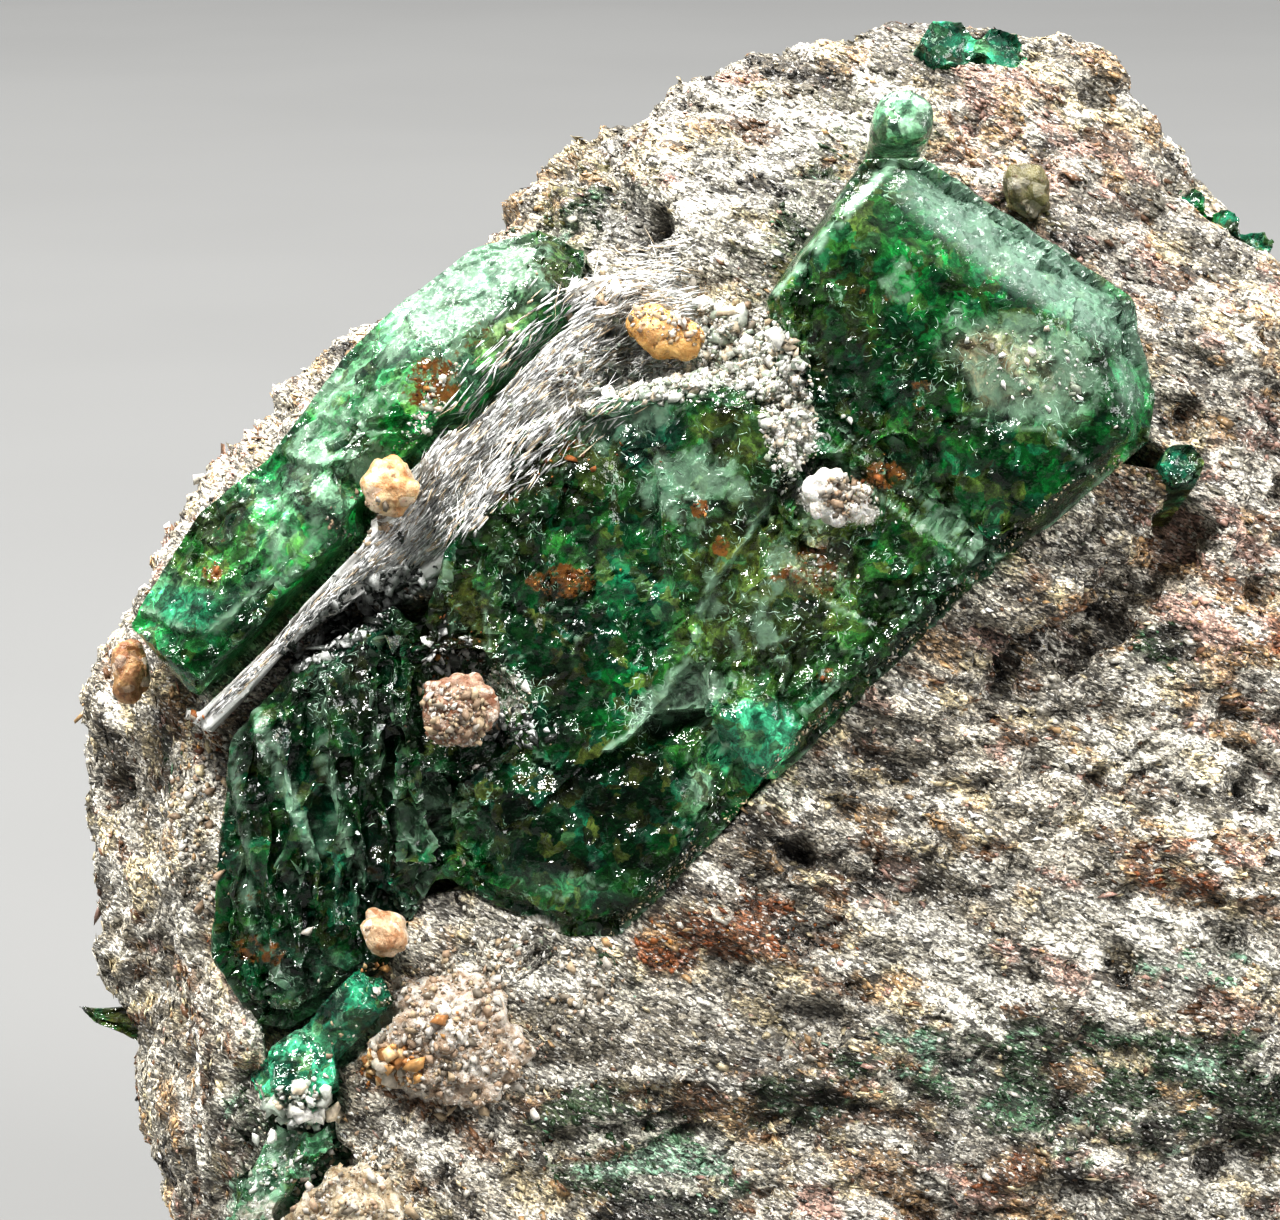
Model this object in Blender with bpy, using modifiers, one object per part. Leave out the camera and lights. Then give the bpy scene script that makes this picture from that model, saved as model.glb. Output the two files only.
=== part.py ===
"""Emerald in matrix: beryl crystals grown in a mica schist, in metres, +Z up.

Every piece is laid out on the specimen's face, in millimetres: u runs to the right along
the face, v runs up it and w stands out from it. One empty carries the face, which leans
back a little, and the rock is sawn off flat below it, so that the specimen stands.
"""

import math
from functools import partial

import bmesh
import bpy
from mathutils import Matrix, Vector, noise

MM = 0.001

# ---- driving dimensions, in millimetres and degrees ---------------------------------------
FACE_LEAN = 12.0
FACE_CENTRE = (-6.3, -10.5, 25.0)
FIT_GAP = 0.34
LUMP_GAP_SHARE = 1.3
SLIVER = 0.0002
FLAT_ANGLE = math.radians(1.2)
CRYSTAL_ROOT = -4.6
EDGE_ROOT = -5.4
ROCK_GRID = 2.05
LUMP_HEIGHT = 0.95
LUMP_LENGTH = 6.5
CRUMB_HEIGHT = 0.75
CRUMB_LENGTH = 3.4
RIDGE_COUNT = 7
SAW_REACH = 90.0
SAW_DEPTH = 30.0

# The rock's corners on its outline, seen from the front, from the lower left clockwise.
ROCK_OUTLINE = (
    (-10.4, -19.5, -6.0), (-11.6, -15.9, -5.5), (-13.2, -12.6, -8.0), (-14.9, -7.3, -9.0),
    (-15.7, -3.5, -9.0), (-14.7, -0.4, -8.0), (-10.2, 4.3, -8.4), (-4.5, 9.2, -7.4),
    (-1.7, 12.9, -7.8), (2.8, 15.0, -8.0), (6.2, 16.1, -8.0), (10.6, 15.6, -8.0),
    (12.6, 14.4, -8.4), (13.8, 11.4, -8.6), (17.1, 9.2, -9.0), (22.0, 6.5, -9.5),
    (27.0, 0.0, -10.0), (28.2, -8.0, -10.0), (26.0, -18.0, -9.0), (23.0, -25.0, -8.0),
)
ROCK_FRONT = (
    (-11.8, -4.5, -3.0), (-10.2, -13.0, -2.2), (-7.0, -17.0, -0.8), (2.0, -19.5, 0.3),
    (12.0, -17.0, -0.3), (20.0, -11.0, -2.4), (20.5, -2.0, -4.4), (15.6, 5.6, -3.2),
    (12.0, 10.6, -4.6), (5.0, 12.6, -5.0), (0.6, 10.2, -3.6), (-6.0, 6.4, -3.0),
    (-9.0, -8.0, -1.2), (8.0, -2.5, -1.6), (6.0, 8.2, -2.2), (2.0, -10.0, -0.6),
)
ROCK_BACK = (
    (-11.6, -18.0, -14.0), (-13.4, -8.0, -16.0), (-12.8, 0.0, -15.0), (-8.0, 7.4, -15.0),
    (0.0, 12.2, -16.0), (8.0, 13.4, -17.0), (16.0, 9.0, -18.0), (24.0, 2.6, -18.0),
    (27.0, -8.0, -18.0), (24.0, -20.0, -16.0), (-8.0, -16.0, -23.0), (-9.0, -4.0, -25.0),
    (-3.0, 5.0, -24.0), (6.0, 8.4, -25.0), (15.0, 4.6, -26.0), (21.0, -3.0, -25.0),
    (20.0, -16.0, -23.0), (6.0, -14.0, -28.0), (6.0, -2.0, -28.5),
)
ROCK_FOOT = (
    (-8.6, -30.0, -4.0), (-9.6, -29.0, -14.0), (-5.0, -27.0, -23.0), (8.0, -28.0, -27.0),
    (19.0, -27.0, -22.0), (23.0, -29.0, -12.0), (19.0, -31.0, -3.4), (4.0, -32.0, 0.8),
    (-4.0, -31.0, -0.6),
)

# Ledges of the schist: left end and right end of the lip, height below the lip, how far
# the lip stands out.
LEDGES = (
    ((3.4, -8.6, -1.0), (11.0, -7.9, -1.4), 2.2, 0.6),
    ((10.6, -6.2, -1.6), (20.0, -5.2, -3.0), 2.4, 0.7),
    ((-1.4, -11.2, -0.7), (7.4, -10.9, -0.7), 2.2, 0.6),
    ((8.4, -9.6, -1.0), (20.6, -8.4, -2.6), 2.3, 0.7),
    ((2.0, -13.8, -0.4), (14.4, -12.6, -1.0), 2.5, 0.7),
    ((13.0, -11.8, -1.0), (22.4, -11.2, -2.8), 2.2, 0.7),
    ((-5.4, -16.4, -0.6), (4.4, -16.0, -0.3), 2.4, 0.6),
    ((7.6, -15.8, -0.3), (19.8, -14.4, -1.6), 2.6, 0.8),
    ((-1.0, -19.2, -0.4), (12.0, -18.6, -0.4), 2.6, 0.6),
    ((11.6, -19.0, -0.8), (22.4, -17.9, -2.6), 2.6, 0.8),
    ((14.4, -1.6, -3.0), (23.2, -1.8, -5.4), 2.3, 0.8),
    ((15.6, 2.0, -3.8), (24.0, 1.6, -7.2), 2.2, 0.8),
    ((15.8, 6.0, -4.8), (21.6, 4.9, -7.8), 2.0, 0.7),
)
# The shelf that the big prism's lower edge moulded, and the hollow that runs below it.
SHELF = (
    (-1.2, -8.7, -0.45), (8.6, 0.4, -0.35), (11.6, 3.4, -0.5), (13.4, 4.6, -0.8),
    (14.3, 4.2, -1.5), (14.1, 2.9, -1.6), (11.3, 0.8, -1.0), (7.3, -2.2, -0.8),
    (4.0, -5.6, -0.7), (0.2, -9.6, -0.7),
)
HOLLOW_RUN = ((4.9, -4.7, -0.4), (7.6, -2.7, -1.1), (10.6, -0.6, -1.4), (14.4, 2.2, -2.4))
HOLLOW_WIDTH = 1.3
HOLLOW_DEPTH = 1.7
LEDGE_TAPER = ((0.0, 0.35), (0.25, 0.95), (0.5, 0.8), (0.75, 1.0), (1.0, 0.3))
LEDGE_SAG = 0.3
# Pits in the rock: middle and how far each reaches.
PIT_DEPTH = 0.5
PITS = (
    (10.1, -10.1, -0.8, 2.4), (2.4, -13.6, -0.1, 2.4), (15.4, -12.9, -1.4, 2.6),
    (7.0, -16.7, 0.0, 2.3), (-3.0, -14.2, -0.4, 2.4), (18.0, -6.0, -3.6, 3.0),
    (-12.6, -9.6, -5.6, 2.6), (9.0, 12.7, -5.4, 2.2), (17.0, 3.0, -4.4, 2.6),
    (27.0, -9.0, -13.0, 4.2), (2.0, -3.0, -28.0, 4.6), (14.0, -12.0, -25.4, 4.2),
    (-12.4, -6.0, -20.0, 3.8), (10.0, 12.4, -15.0, 3.6), (20.0, -18.0, -21.0, 3.6),
)

# The big prism. Each block: its front face, the shoulder below it, and how deep it roots.
RIGHT_BLOCK_FACE = (
    (4.8, 9.8, 1.0), (11.2, 6.5, 1.0), (12.2, 4.4, 0.9), (8.7, 1.4, 1.1), (3.8, 5.0, 1.1),
    (3.4, 7.9, 1.0),
)
RIGHT_BLOCK_SHOULDER = (
    (5.6, 11.4, -0.4), (7.1, 11.5, -0.5), (12.5, 7.9, -0.5), (13.0, 5.4, -0.4),
    (12.8, 4.2, -0.2), (8.8, 0.8, 0.1), (3.4, 4.8, 0.2), (3.1, 7.8, 0.0),
)
SLAB_FACE = (
    (3.6, 5.0, 0.9), (8.5, 1.25, 0.95), (2.9, -4.1, 0.8), (1.4, -2.2, 0.7), (0.5, 1.2, 0.7),
    (0.1, 4.2, 0.6), (1.5, 5.5, 0.7),
)
MIDDLE_FACE = (
    (8.4, 1.0, 0.3), (-0.5, -7.8, 0.2), (-1.6, -8.0, 0.0), (-4.8, -6.5, -0.2),
    (-5.8, -2.0, 0.0), (-5.5, 0.0, 0.1), (-4.4, 2.6, 0.1), (-3.3, 4.2, 0.1),
    (-1.7, 5.2, 0.2), (1.4, 5.6, 0.3), (4.4, 5.8, 0.3),
)
MIDDLE_SHOULDER = (
    (8.8, 0.9, -0.3), (-0.5, -8.3, -0.6), (-1.8, -8.4, -0.7), (-5.1, -6.8, -0.9),
    (-4.6, 2.7, -0.6), (-3.4, 4.4, -0.6), (1.4, 5.9, -0.5), (4.6, 6.0, -0.4),
)
LEFT_FACE = (
    (-10.0, -3.4, -0.7), (-8.7, -1.8, -0.6), (-6.2, -0.1, -0.4), (-5.2, -0.8, -0.3),
    (-4.8, -6.4, -0.5), (-6.5, -8.7, -0.8), (-8.8, -10.3, -1.1), (-9.6, -10.2, -1.2),
    (-10.6, -8.7, -1.3),
)
LEFT_SHOULDER = (
    (-10.5, -3.3, -1.6), (-8.8, -1.4, -1.5), (-6.2, 0.3, -1.2), (-6.4, -9.1, -1.6),
    (-8.9, -10.8, -1.9), (-9.8, -10.6, -2.0), (-11.1, -8.8, -2.1),
)
RIDGE_TOPS = ((-9.6, -3.0), (-6.2, -0.6))
RIDGE_FEET = ((-9.2, -9.6), (-5.6, -6.6))
RIDGE_HEIGHT = 0.75
RIDGE_WIDTH = 0.5
CORNER_STEP = (
    (1.6, -2.3, 1.05), (3.7, -1.9, 1.15), (2.95, -4.15, 0.95), (1.3, -3.0, 0.3),
    (4.1, -3.3, 0.2), (3.0, -4.35, 0.2), (3.9, -1.4, 0.3), (1.1, -1.9, 0.3),
)
CHIPS = (
    ((-2.4, -7.2, 0.3), 1.5, 0.6, 40.0), ((-4.2, -5.8, 0.2), 1.3, 0.5, -30.0),
    ((0.3, -6.5, 0.5), 0.9, 0.5, 45.0), ((-4.4, 1.4, 0.4), 1.1, 0.5, 70.0),
    ((6.4, 3.6, 1.2), 1.0, 0.55, 52.0), ((12.2, 5.6, 0.9), 0.9, 0.5, -60.0),
    ((-1.0, 4.5, 0.5), 1.4, 0.5, 10.0), ((9.2, 2.2, 1.2), 0.9, 0.45, -35.0),
)

# The paler prism along the upper-left edge, broken across into three joined blocks.
EDGE_BLOCKS = (
    (
        (-12.0, -1.2, -0.9), (-11.1, -1.9, -1.0), (-7.5, 1.9, -0.7), (-8.3, 3.2, -0.7),
        (-13.1, -0.4, -2.4), (-11.3, 2.5, -2.4), (-9.2, 4.2, -2.4), (-11.3, -2.3, -2.0),
        (-7.0, 2.0, -2.0), (-7.8, 3.8, -1.8),
    ),
    (
        (-8.6, 2.8, -0.5), (-7.6, 2.2, -0.6), (-4.7, 5.2, -0.6), (-5.5, 6.8, -0.7),
        (-9.5, 3.9, -2.2), (-7.6, 6.5, -2.4), (-6.0, 8.0, -2.5), (-7.8, 2.0, -1.8),
        (-4.5, 5.2, -1.8),
    ),
    (
        (-5.7, 6.2, -0.6), (-4.6, 5.0, -0.7), (-2.1, 7.5, -1.1), (-2.5, 8.6, -1.2),
        (-6.4, 7.6, -2.4), (-4.3, 9.3, -2.7), (-2.6, 9.8, -2.9), (-1.3, 9.2, -2.9),
        (-4.4, 4.7, -1.9), (-1.7, 7.6, -2.2),
    ),
)

# The silky band between the two prisms: points along it, its width and its height there.
RIBBON_RUN = (
    (-11.3, -2.9, -1.1), (-7.4, 1.2, -0.9), (-6.0, 2.2, -0.8), (-5.0, 3.9, -0.6),
    (-2.9, 6.1, -0.7), (-1.0, 7.8, -1.0), (0.4, 8.0, -1.2),
)
RIBBON_WIDTHS = (0.9, 1.0, 1.1, 1.5, 1.5, 1.6, 1.3)
RIBBON_ROOT = -3.4

# Small six-sided prisms: foot, tip and width across corners, grown together by cluster.
CLUSTER_PRISMS = (
    ((-9.4, -12.2, -2.6), (-6.7, -9.5, -0.2), 1.6),
    ((-8.4, -12.3, -3.4), (-8.5, -11.4, -0.3), 2.1),
)
FOOT_PRISMS = (
    ((-8.4, -13.2, -3.2), (-9.7, -16.0, -0.9), 2.2),
    ((-7.6, -12.8, -3.0), (-8.4, -14.6, -0.5), 1.7),
    ((-9.6, -14.6, -3.4), (-9.4, -18.0, -1.2), 1.8),
)
CREST_PRISMS = (
    ((6.4, 10.4, -7.0), (6.8, 12.8, -2.6), 2.1),
)
PEAK_PRISMS = (
    ((7.4, 13.6, -10.0), (8.2, 15.0, -6.9), 1.8),
    ((8.3, 13.0, -10.4), (9.7, 14.9, -7.3), 1.7),
)
RIM_PRISMS = (
    ((14.6, 9.2, -10.2), (14.7, 11.0, -7.8), 1.0),
    ((15.3, 8.8, -10.0), (15.6, 10.4, -7.6), 0.95),
    ((15.9, 8.4, -10.4), (16.5, 9.8, -7.8), 1.0),
)
SPUR_PRISMS = (
    ((-11.0, -10.9, -9.6), (-14.9, -11.3, -9.0), 2.3),
)
SIDE_PRISMS = (
    ((13.2, 2.6, -4.4), (13.7, 3.7, -1.0), 1.4),
)

# Grains of other minerals: middle, size along u, v and w, turn about w, seed.
GRAINS = {
    "white_lump": ((-4.9, -10.8, -0.9), (4.3, 3.1, 2.6), -12.0, 3, 3),
    "orange_grain": ((0.6, 7.0, -0.9), (2.1, 1.2, 1.3), -30.0, 5, 2),
    "peach_grain": ((-6.3, 3.1, -0.3), (1.5, 1.6, 1.3), -50.0, 7, 2),
    "tan_grain": ((-6.4, -8.1, -0.2), (1.1, 1.3, 1.2), 20.0, 11, 2),
    "pink_grain": ((-4.5, -2.5, 0.3), (2.0, 1.9, 1.3), 15.0, 13, 2),
    "cream_lump": ((-7.2, -15.6, -0.9), (3.0, 3.6, 2.2), 15.0, 17, 2),
    "snow_lump": ((4.9, 2.8, 1.1), (1.7, 0.9, 0.9), -15.0, 19, 2),
    "left_grain": ((-13.2, -1.6, -4.2), (0.9, 1.8, 1.6), 5.0, 23, 2),
    "olive_grain": ((10.0, 10.9, -4.6), (1.2, 1.6, 1.6), 20.0, 29, 2),
}

# Finishes: base colour, roughness.
FINISHES = {
    "mica_schist": ((0.46, 0.42, 0.36), 0.62),
    "emerald_deep": ((0.01, 0.16, 0.05), 0.12),
    "emerald_pale": ((0.2, 0.48, 0.28), 0.18),
    "emerald_olive": ((0.13, 0.2, 0.09), 0.2),
    "silky_mica": ((0.72, 0.74, 0.7), 0.35),
    "white_feldspar": ((0.8, 0.76, 0.68), 0.55),
    "orange_feldspar": ((0.8, 0.46, 0.18), 0.5),
    "olive_mica": ((0.24, 0.2, 0.1), 0.4),
}


# ---- workshop helpers ---------------------------------------------------------------------
def clear_scene():
    """Empty the scene of whatever it starts with."""
    for obj in list(bpy.data.objects):
        bpy.data.objects.remove(obj, do_unlink=True)


def make_collection(name):
    """A new collection under the scene."""
    collection = bpy.data.collections.new(name)
    bpy.context.scene.collection.children.link(collection)
    return collection


def make_finish(name):
    """The Principled material called name in FINISHES."""
    colour, roughness = FINISHES[name]
    material = bpy.data.materials.new(name)
    material.use_nodes = True
    shader = material.node_tree.nodes["Principled BSDF"]
    shader.inputs["Base Color"].default_value = (*colour, 1.0)
    shader.inputs["Roughness"].default_value = roughness
    shader.inputs["Metallic"].default_value = 0.0
    return material


def mesh_from(bm, name):
    """Turn a bmesh into a mesh with outward faces, and free it."""
    bmesh.ops.recalc_face_normals(bm, faces=bm.faces)
    mesh = bpy.data.meshes.new(name)
    bm.to_mesh(mesh)
    bm.free()
    return mesh


def hull_of(points):
    """The convex block around a list of points, in metres."""
    bm = bmesh.new()
    for point in points:
        bm.verts.new(point)
    shape = bmesh.ops.convex_hull(bm, input=bm.verts)
    spare = {
        item
        for item in shape["geom_interior"] + shape["geom_unused"]
        if isinstance(item, bmesh.types.BMVert)
    }
    bmesh.ops.delete(bm, geom=list(spare), context="VERTS")
    bmesh.ops.recalc_face_normals(bm, faces=bm.faces)
    return bm


def grown(bm, gap):
    """The convex block bm with every face moved outward by gap millimetres."""
    bm.normal_update()
    points = [v.co + v.normal * v.calc_shell_factor() * gap * MM for v in bm.verts]
    bm.free()
    return hull_of(points)


def hull_bmesh(corners, gap=0.0):
    """The convex block whose corners are given in face millimetres, grown by gap."""
    bm = hull_of([Vector(corner) * MM for corner in corners])
    return grown(bm, gap) if gap else bm


def prism_bmesh(foot, tip, width, gap=0.0):
    """A six-sided prism of that width across corners, from its foot to its tip."""
    start = Vector(foot) * MM
    run = Vector(tip) * MM - start
    bm = bmesh.new()
    bmesh.ops.create_cone(
        bm,
        cap_ends=True,
        segments=6,
        radius1=width * MM / 2,
        radius2=width * MM * 0.47,
        depth=run.length,
    )
    turn = run.to_track_quat("Z", "Y").to_matrix().to_4x4()
    place = Matrix.Translation(start + run / 2)
    bmesh.ops.transform(bm, matrix=place @ turn, verts=bm.verts)
    bmesh.ops.triangulate(bm, faces=bm.faces)
    return grown(bm, gap) if gap else bm


def lump_bmesh(middle, size, turn, seed, detail, gap=0.0):
    """A rough rounded lump with that middle and size, in face millimetres."""
    bm = bmesh.new()
    bmesh.ops.create_icosphere(bm, subdivisions=detail, radius=0.5)
    offset = Vector((seed * 3.7, seed * 1.9, seed * 2.3))
    for vert in bm.verts:
        swell = noise.noise(vert.co * 3.0 + offset) + 0.5 * noise.noise(vert.co * 7.0 + offset)
        vert.co *= 1.0 + 0.28 * swell
    stretch = Matrix.Diagonal((*size, 1.0))
    spin = Matrix.Rotation(math.radians(turn), 4, "Z")
    place = Matrix.Scale(MM, 4) @ Matrix.Translation(middle) @ spin @ stretch
    bmesh.ops.transform(bm, matrix=place, verts=bm.verts)
    centre = Vector(middle) * MM
    for vert in bm.verts:
        vert.co += (vert.co - centre).normalized() * gap * LUMP_GAP_SHARE * MM
    return bm


def drop_crumbs(obj):
    """Remove the loose crumbs that neighbouring seats cut off, keeping the main body."""
    bm = bmesh.new()
    bm.from_mesh(obj.data)
    unseen = set(bm.faces)
    bodies = []
    for seed in bm.faces:
        if seed not in unseen:
            continue
        unseen.remove(seed)
        body = [seed]
        for face in body:
            for edge in face.edges:
                for other in edge.link_faces:
                    if other in unseen:
                        unseen.remove(other)
                        body.append(other)
        bodies.append(body)
    bodies.sort(key=len)
    for body in bodies[:-1]:
        bmesh.ops.delete(bm, geom=body, context="FACES")
    bm.to_mesh(obj.data)
    bm.free()


def merge_flats(obj):
    """Join the triangles that lie in one flat face, and triangulate the face again."""
    mesh = obj.data.copy()
    bm = bmesh.new()
    bm.from_mesh(mesh)
    bmesh.ops.dissolve_limit(bm, angle_limit=FLAT_ANGLE, verts=bm.verts, edges=bm.edges)
    bmesh.ops.triangulate(bm, faces=bm.faces)
    bm.to_mesh(mesh)
    bm.free()
    if is_closed(mesh):
        obj.data = mesh


def with_root(corners, root):
    """The corners, and the same outline again at the root depth."""
    return tuple(corners) + tuple((u, v, root) for u, v, _ in corners)


class Workshop:
    """Places pieces on the face and keeps the cutters apart from them."""

    def __init__(self):
        self.pieces = make_collection("emerald_in_matrix")
        self.cutters = make_collection("cutters")
        self.finishes = {name: make_finish(name) for name in FINISHES}
        self.face = bpy.data.objects.new("specimen_face", None)
        self.face.location = Vector(FACE_CENTRE) * MM
        self.face.rotation_euler = (math.radians(90.0 - FACE_LEAN), 0.0, 0.0)
        self.pieces.objects.link(self.face)

    def piece(self, name, bm, finish):
        """A named piece on the face, with its own copy of the finish."""
        obj = bpy.data.objects.new(name, mesh_from(bm, name))
        obj.parent = self.face
        self.pieces.objects.link(obj)
        material = self.finishes[finish].copy()
        material.name = f"{name}_{finish}"
        obj.data.materials.append(material)
        return obj

    def boolean(self, target, body, operation, on_face=True):
        """Join body to target or cut it from it, and apply the result."""
        tool = bpy.data.objects.new("tool", mesh_from(body, "tool"))
        tool.hide_render = True
        tool.display_type = "WIRE"
        self.cutters.objects.link(tool)
        if on_face:
            tool.parent = self.face
        before = target.data
        for solver in ("EXACT", "MANIFOLD"):
            target.data = before.copy()
            step = target.modifiers.new("step", "BOOLEAN")
            step.object = tool
            step.operation = operation
            step.solver = solver
            bake(target)
            if is_closed(target.data):
                break
        bpy.data.objects.remove(tool, do_unlink=True)

    def fuse(self, name, bodies, finish):
        """One piece joined from several overlapping bodies."""
        obj = self.piece(name, bodies[0], finish)
        for body in bodies[1:]:
            self.boolean(obj, body, "UNION")
        return obj

    def seat(self, target, makers):
        """Cut room in target, with the fitting gap, for the bodies that makers build."""
        for maker in makers:
            body = maker(gap=FIT_GAP)
            if reaches(body, target):
                self.boolean(target, body, "DIFFERENCE")


def reaches(body, target):
    """Whether the box around a body meets the box around a piece."""
    boxes = []
    for verts in (body.verts, target.data.vertices):
        spots = [vert.co for vert in verts]
        low = [min(spot[axis] for spot in spots) for axis in range(3)]
        high = [max(spot[axis] for spot in spots) for axis in range(3)]
        boxes.append((low, high))
    (low_a, high_a), (low_b, high_b) = boxes
    return all(low_a[axis] < high_b[axis] and low_b[axis] < high_a[axis] for axis in range(3))


def is_closed(mesh):
    """Whether a mesh has faces and every edge lies between two of them."""
    bm = bmesh.new()
    bm.from_mesh(mesh)
    closed = len(bm.faces) > 0 and all(edge.is_manifold for edge in bm.edges)
    bm.free()
    return closed


def bake(obj):
    """Apply an object's modifiers and clear its mesh of slivers."""
    bpy.context.view_layer.update()
    graph = bpy.context.evaluated_depsgraph_get()
    mesh = bpy.data.meshes.new_from_object(obj.evaluated_get(graph))
    obj.modifiers.clear()
    bm = bmesh.new()
    bm.from_mesh(mesh)
    bmesh.ops.remove_doubles(bm, verts=bm.verts, dist=SLIVER * MM)
    bmesh.ops.triangulate(bm, faces=bm.faces)
    bm.to_mesh(mesh)
    bm.free()
    obj.data = mesh


# ---- bodies that pieces and their seats share ---------------------------------------------
def main_makers():
    """Makers of the big prism's rooted blocks."""
    return [
        partial(hull_bmesh, MIDDLE_FACE + with_root(MIDDLE_SHOULDER, CRYSTAL_ROOT)),
        partial(hull_bmesh, RIGHT_BLOCK_FACE + with_root(RIGHT_BLOCK_SHOULDER, CRYSTAL_ROOT)),
        partial(hull_bmesh, LEFT_FACE + with_root(LEFT_SHOULDER, CRYSTAL_ROOT)),
    ]


def edge_makers():
    """Makers of the paler prism's blocks."""
    return [partial(hull_bmesh, with_root(corners, EDGE_ROOT)) for corners in EDGE_BLOCKS]


def prism_makers(prisms):
    """Makers of a group of small prisms."""
    return [partial(prism_bmesh, *prism) for prism in prisms]


def ribbon_bmesh(gap=0.0):
    """The silky band: one long loft with a low crest, grown by gap on every side."""
    bm = bmesh.new()
    run = [Vector(point) for point in RIBBON_RUN]
    last = len(run) - 1
    rings = []
    for index, (point, width) in enumerate(zip(run, RIBBON_WIDTHS)):
        along = (run[min(index + 1, last)] - run[max(index - 1, 0)]).normalized()
        across = Vector((-along.y, along.x, 0.0)).normalized()
        half = width / 2 + gap
        end_shift = along * gap * ((index == last) - (index == 0))
        section = (
            (-half, RIBBON_ROOT - gap), (-half, point.z - 0.25 + gap), (0.0, point.z + gap),
            (half, point.z - 0.25 + gap), (half, RIBBON_ROOT - gap),
        )
        ring = []
        for side, level in section:
            spot = point + across * side + end_shift
            ring.append(bm.verts.new(Vector((spot.x, spot.y, level)) * MM))
        rings.append(ring)
    for ring, following in zip(rings, rings[1:]):
        for low, high in zip(range(5), (1, 2, 3, 4, 0)):
            bm.faces.new((ring[low], ring[high], following[high], following[low]))
    bm.faces.new(rings[0])
    bm.faces.new(list(reversed(rings[-1])))
    bmesh.ops.triangulate(bm, faces=bm.faces)
    bmesh.ops.recalc_face_normals(bm, faces=bm.faces)
    return bm


def grain_maker(name):
    """Maker of one mineral grain."""
    return partial(lump_bmesh, *GRAINS[name])


# ---- the pieces ---------------------------------------------------------------------------
def rock_block():
    """The rock's lumpy body, before anything is set in it."""
    bm = hull_bmesh(ROCK_OUTLINE + ROCK_FRONT + ROCK_BACK + ROCK_FOOT)
    mesh = mesh_from(bm, "rock_block")
    obj = bpy.data.objects.new("rock_block", mesh)
    bpy.context.scene.collection.objects.link(obj)
    grid = obj.modifiers.new("even_grid", "REMESH")
    grid.mode = "VOXEL"
    grid.voxel_size = ROCK_GRID * MM
    bake(obj)
    bm = bmesh.new()
    bm.from_mesh(obj.data)
    bpy.data.objects.remove(obj, do_unlink=True)
    bm.normal_update()
    moves = []
    for vert in bm.verts:
        spot = vert.co / MM
        rise = noise.noise(spot / LUMP_LENGTH + Vector((4.1, 0.3, 8.2))) * LUMP_HEIGHT
        rise += noise.noise(spot / CRUMB_LENGTH) * CRUMB_HEIGHT
        for u, v, w, across in PITS:
            reach = (spot - Vector((u, v, w))).length / across
            rise -= PIT_DEPTH * across * max(0.0, 1.0 - reach)
        moves.append(vert.normal * rise * MM)
    for vert, move in zip(bm.verts, moves):
        vert.co += move
    return bm


def ledge_bmesh(left, right, height, reach):
    """A long shingle of one schist layer: a sharp lip above, sloping back below it."""
    start, end = Vector(left), Vector(right)
    corners = []
    for share, thick in LEDGE_TAPER:
        point = start.lerp(end, share)
        drop = height * thick
        sag = LEDGE_SAG * math.sin(share * math.pi * 2.0 + point.y)
        lip = point.z + reach * thick
        corners.append((point.x, point.y + sag + 0.5, point.z - 2.0))
        corners.append((point.x, point.y + sag, lip - 0.2))
        corners.append((point.x + 0.2, point.y + sag - 0.35 * drop, lip))
        corners.append((point.x + 0.2, point.y + sag - drop, point.z - 0.5))
        corners.append((point.x, point.y + sag - drop, point.z - 2.0))
    return hull_bmesh(corners)


def hollow_bmeshes():
    """The lengths of the shadowed hollow that runs below the shelf."""
    bodies = []
    for start, end in zip(HOLLOW_RUN, HOLLOW_RUN[1:]):
        along = (Vector(end) - Vector(start)).normalized()
        across = Vector((-along.y, along.x, 0.0)).normalized()
        corners = []
        for point in (Vector(start) - along * 0.4, Vector(end) + along * 0.4):
            upper = point + across * HOLLOW_WIDTH * 0.35
            lower = point - across * HOLLOW_WIDTH
            corners.append((upper.x, upper.y, point.z + 1.5))
            corners.append((lower.x, lower.y - 0.8, point.z + 2.2))
            corners.append((upper.x, upper.y, point.z - HOLLOW_DEPTH))
            corners.append((point.x, point.y - 0.3, point.z - HOLLOW_DEPTH))
        bodies.append(hull_bmesh(corners))
    return bodies


def build_rock(shop, seats):
    """The schist matrix with its ledges, shelf, hollow, pits, seats and sawn base."""
    rock = shop.piece("matrix_rock", rock_block(), "mica_schist")
    for ledge in LEDGES:
        shop.boolean(rock, ledge_bmesh(*ledge), "UNION")
    for body in hollow_bmeshes():
        shop.boolean(rock, body, "DIFFERENCE")
    shop.boolean(rock, hull_bmesh(with_root(SHELF, CRYSTAL_ROOT)), "UNION")
    shop.seat(rock, seats)
    saw = bmesh.new()
    bmesh.ops.create_cube(saw, size=1.0)
    below = Matrix.Translation((0.0, 0.0, -SAW_DEPTH * MM / 2))
    spread = Matrix.Diagonal((SAW_REACH * MM, SAW_REACH * MM, SAW_DEPTH * MM, 1.0))
    bmesh.ops.transform(saw, matrix=below @ spread, verts=saw.verts)
    shop.boolean(rock, saw, "DIFFERENCE", on_face=False)
    return rock


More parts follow.
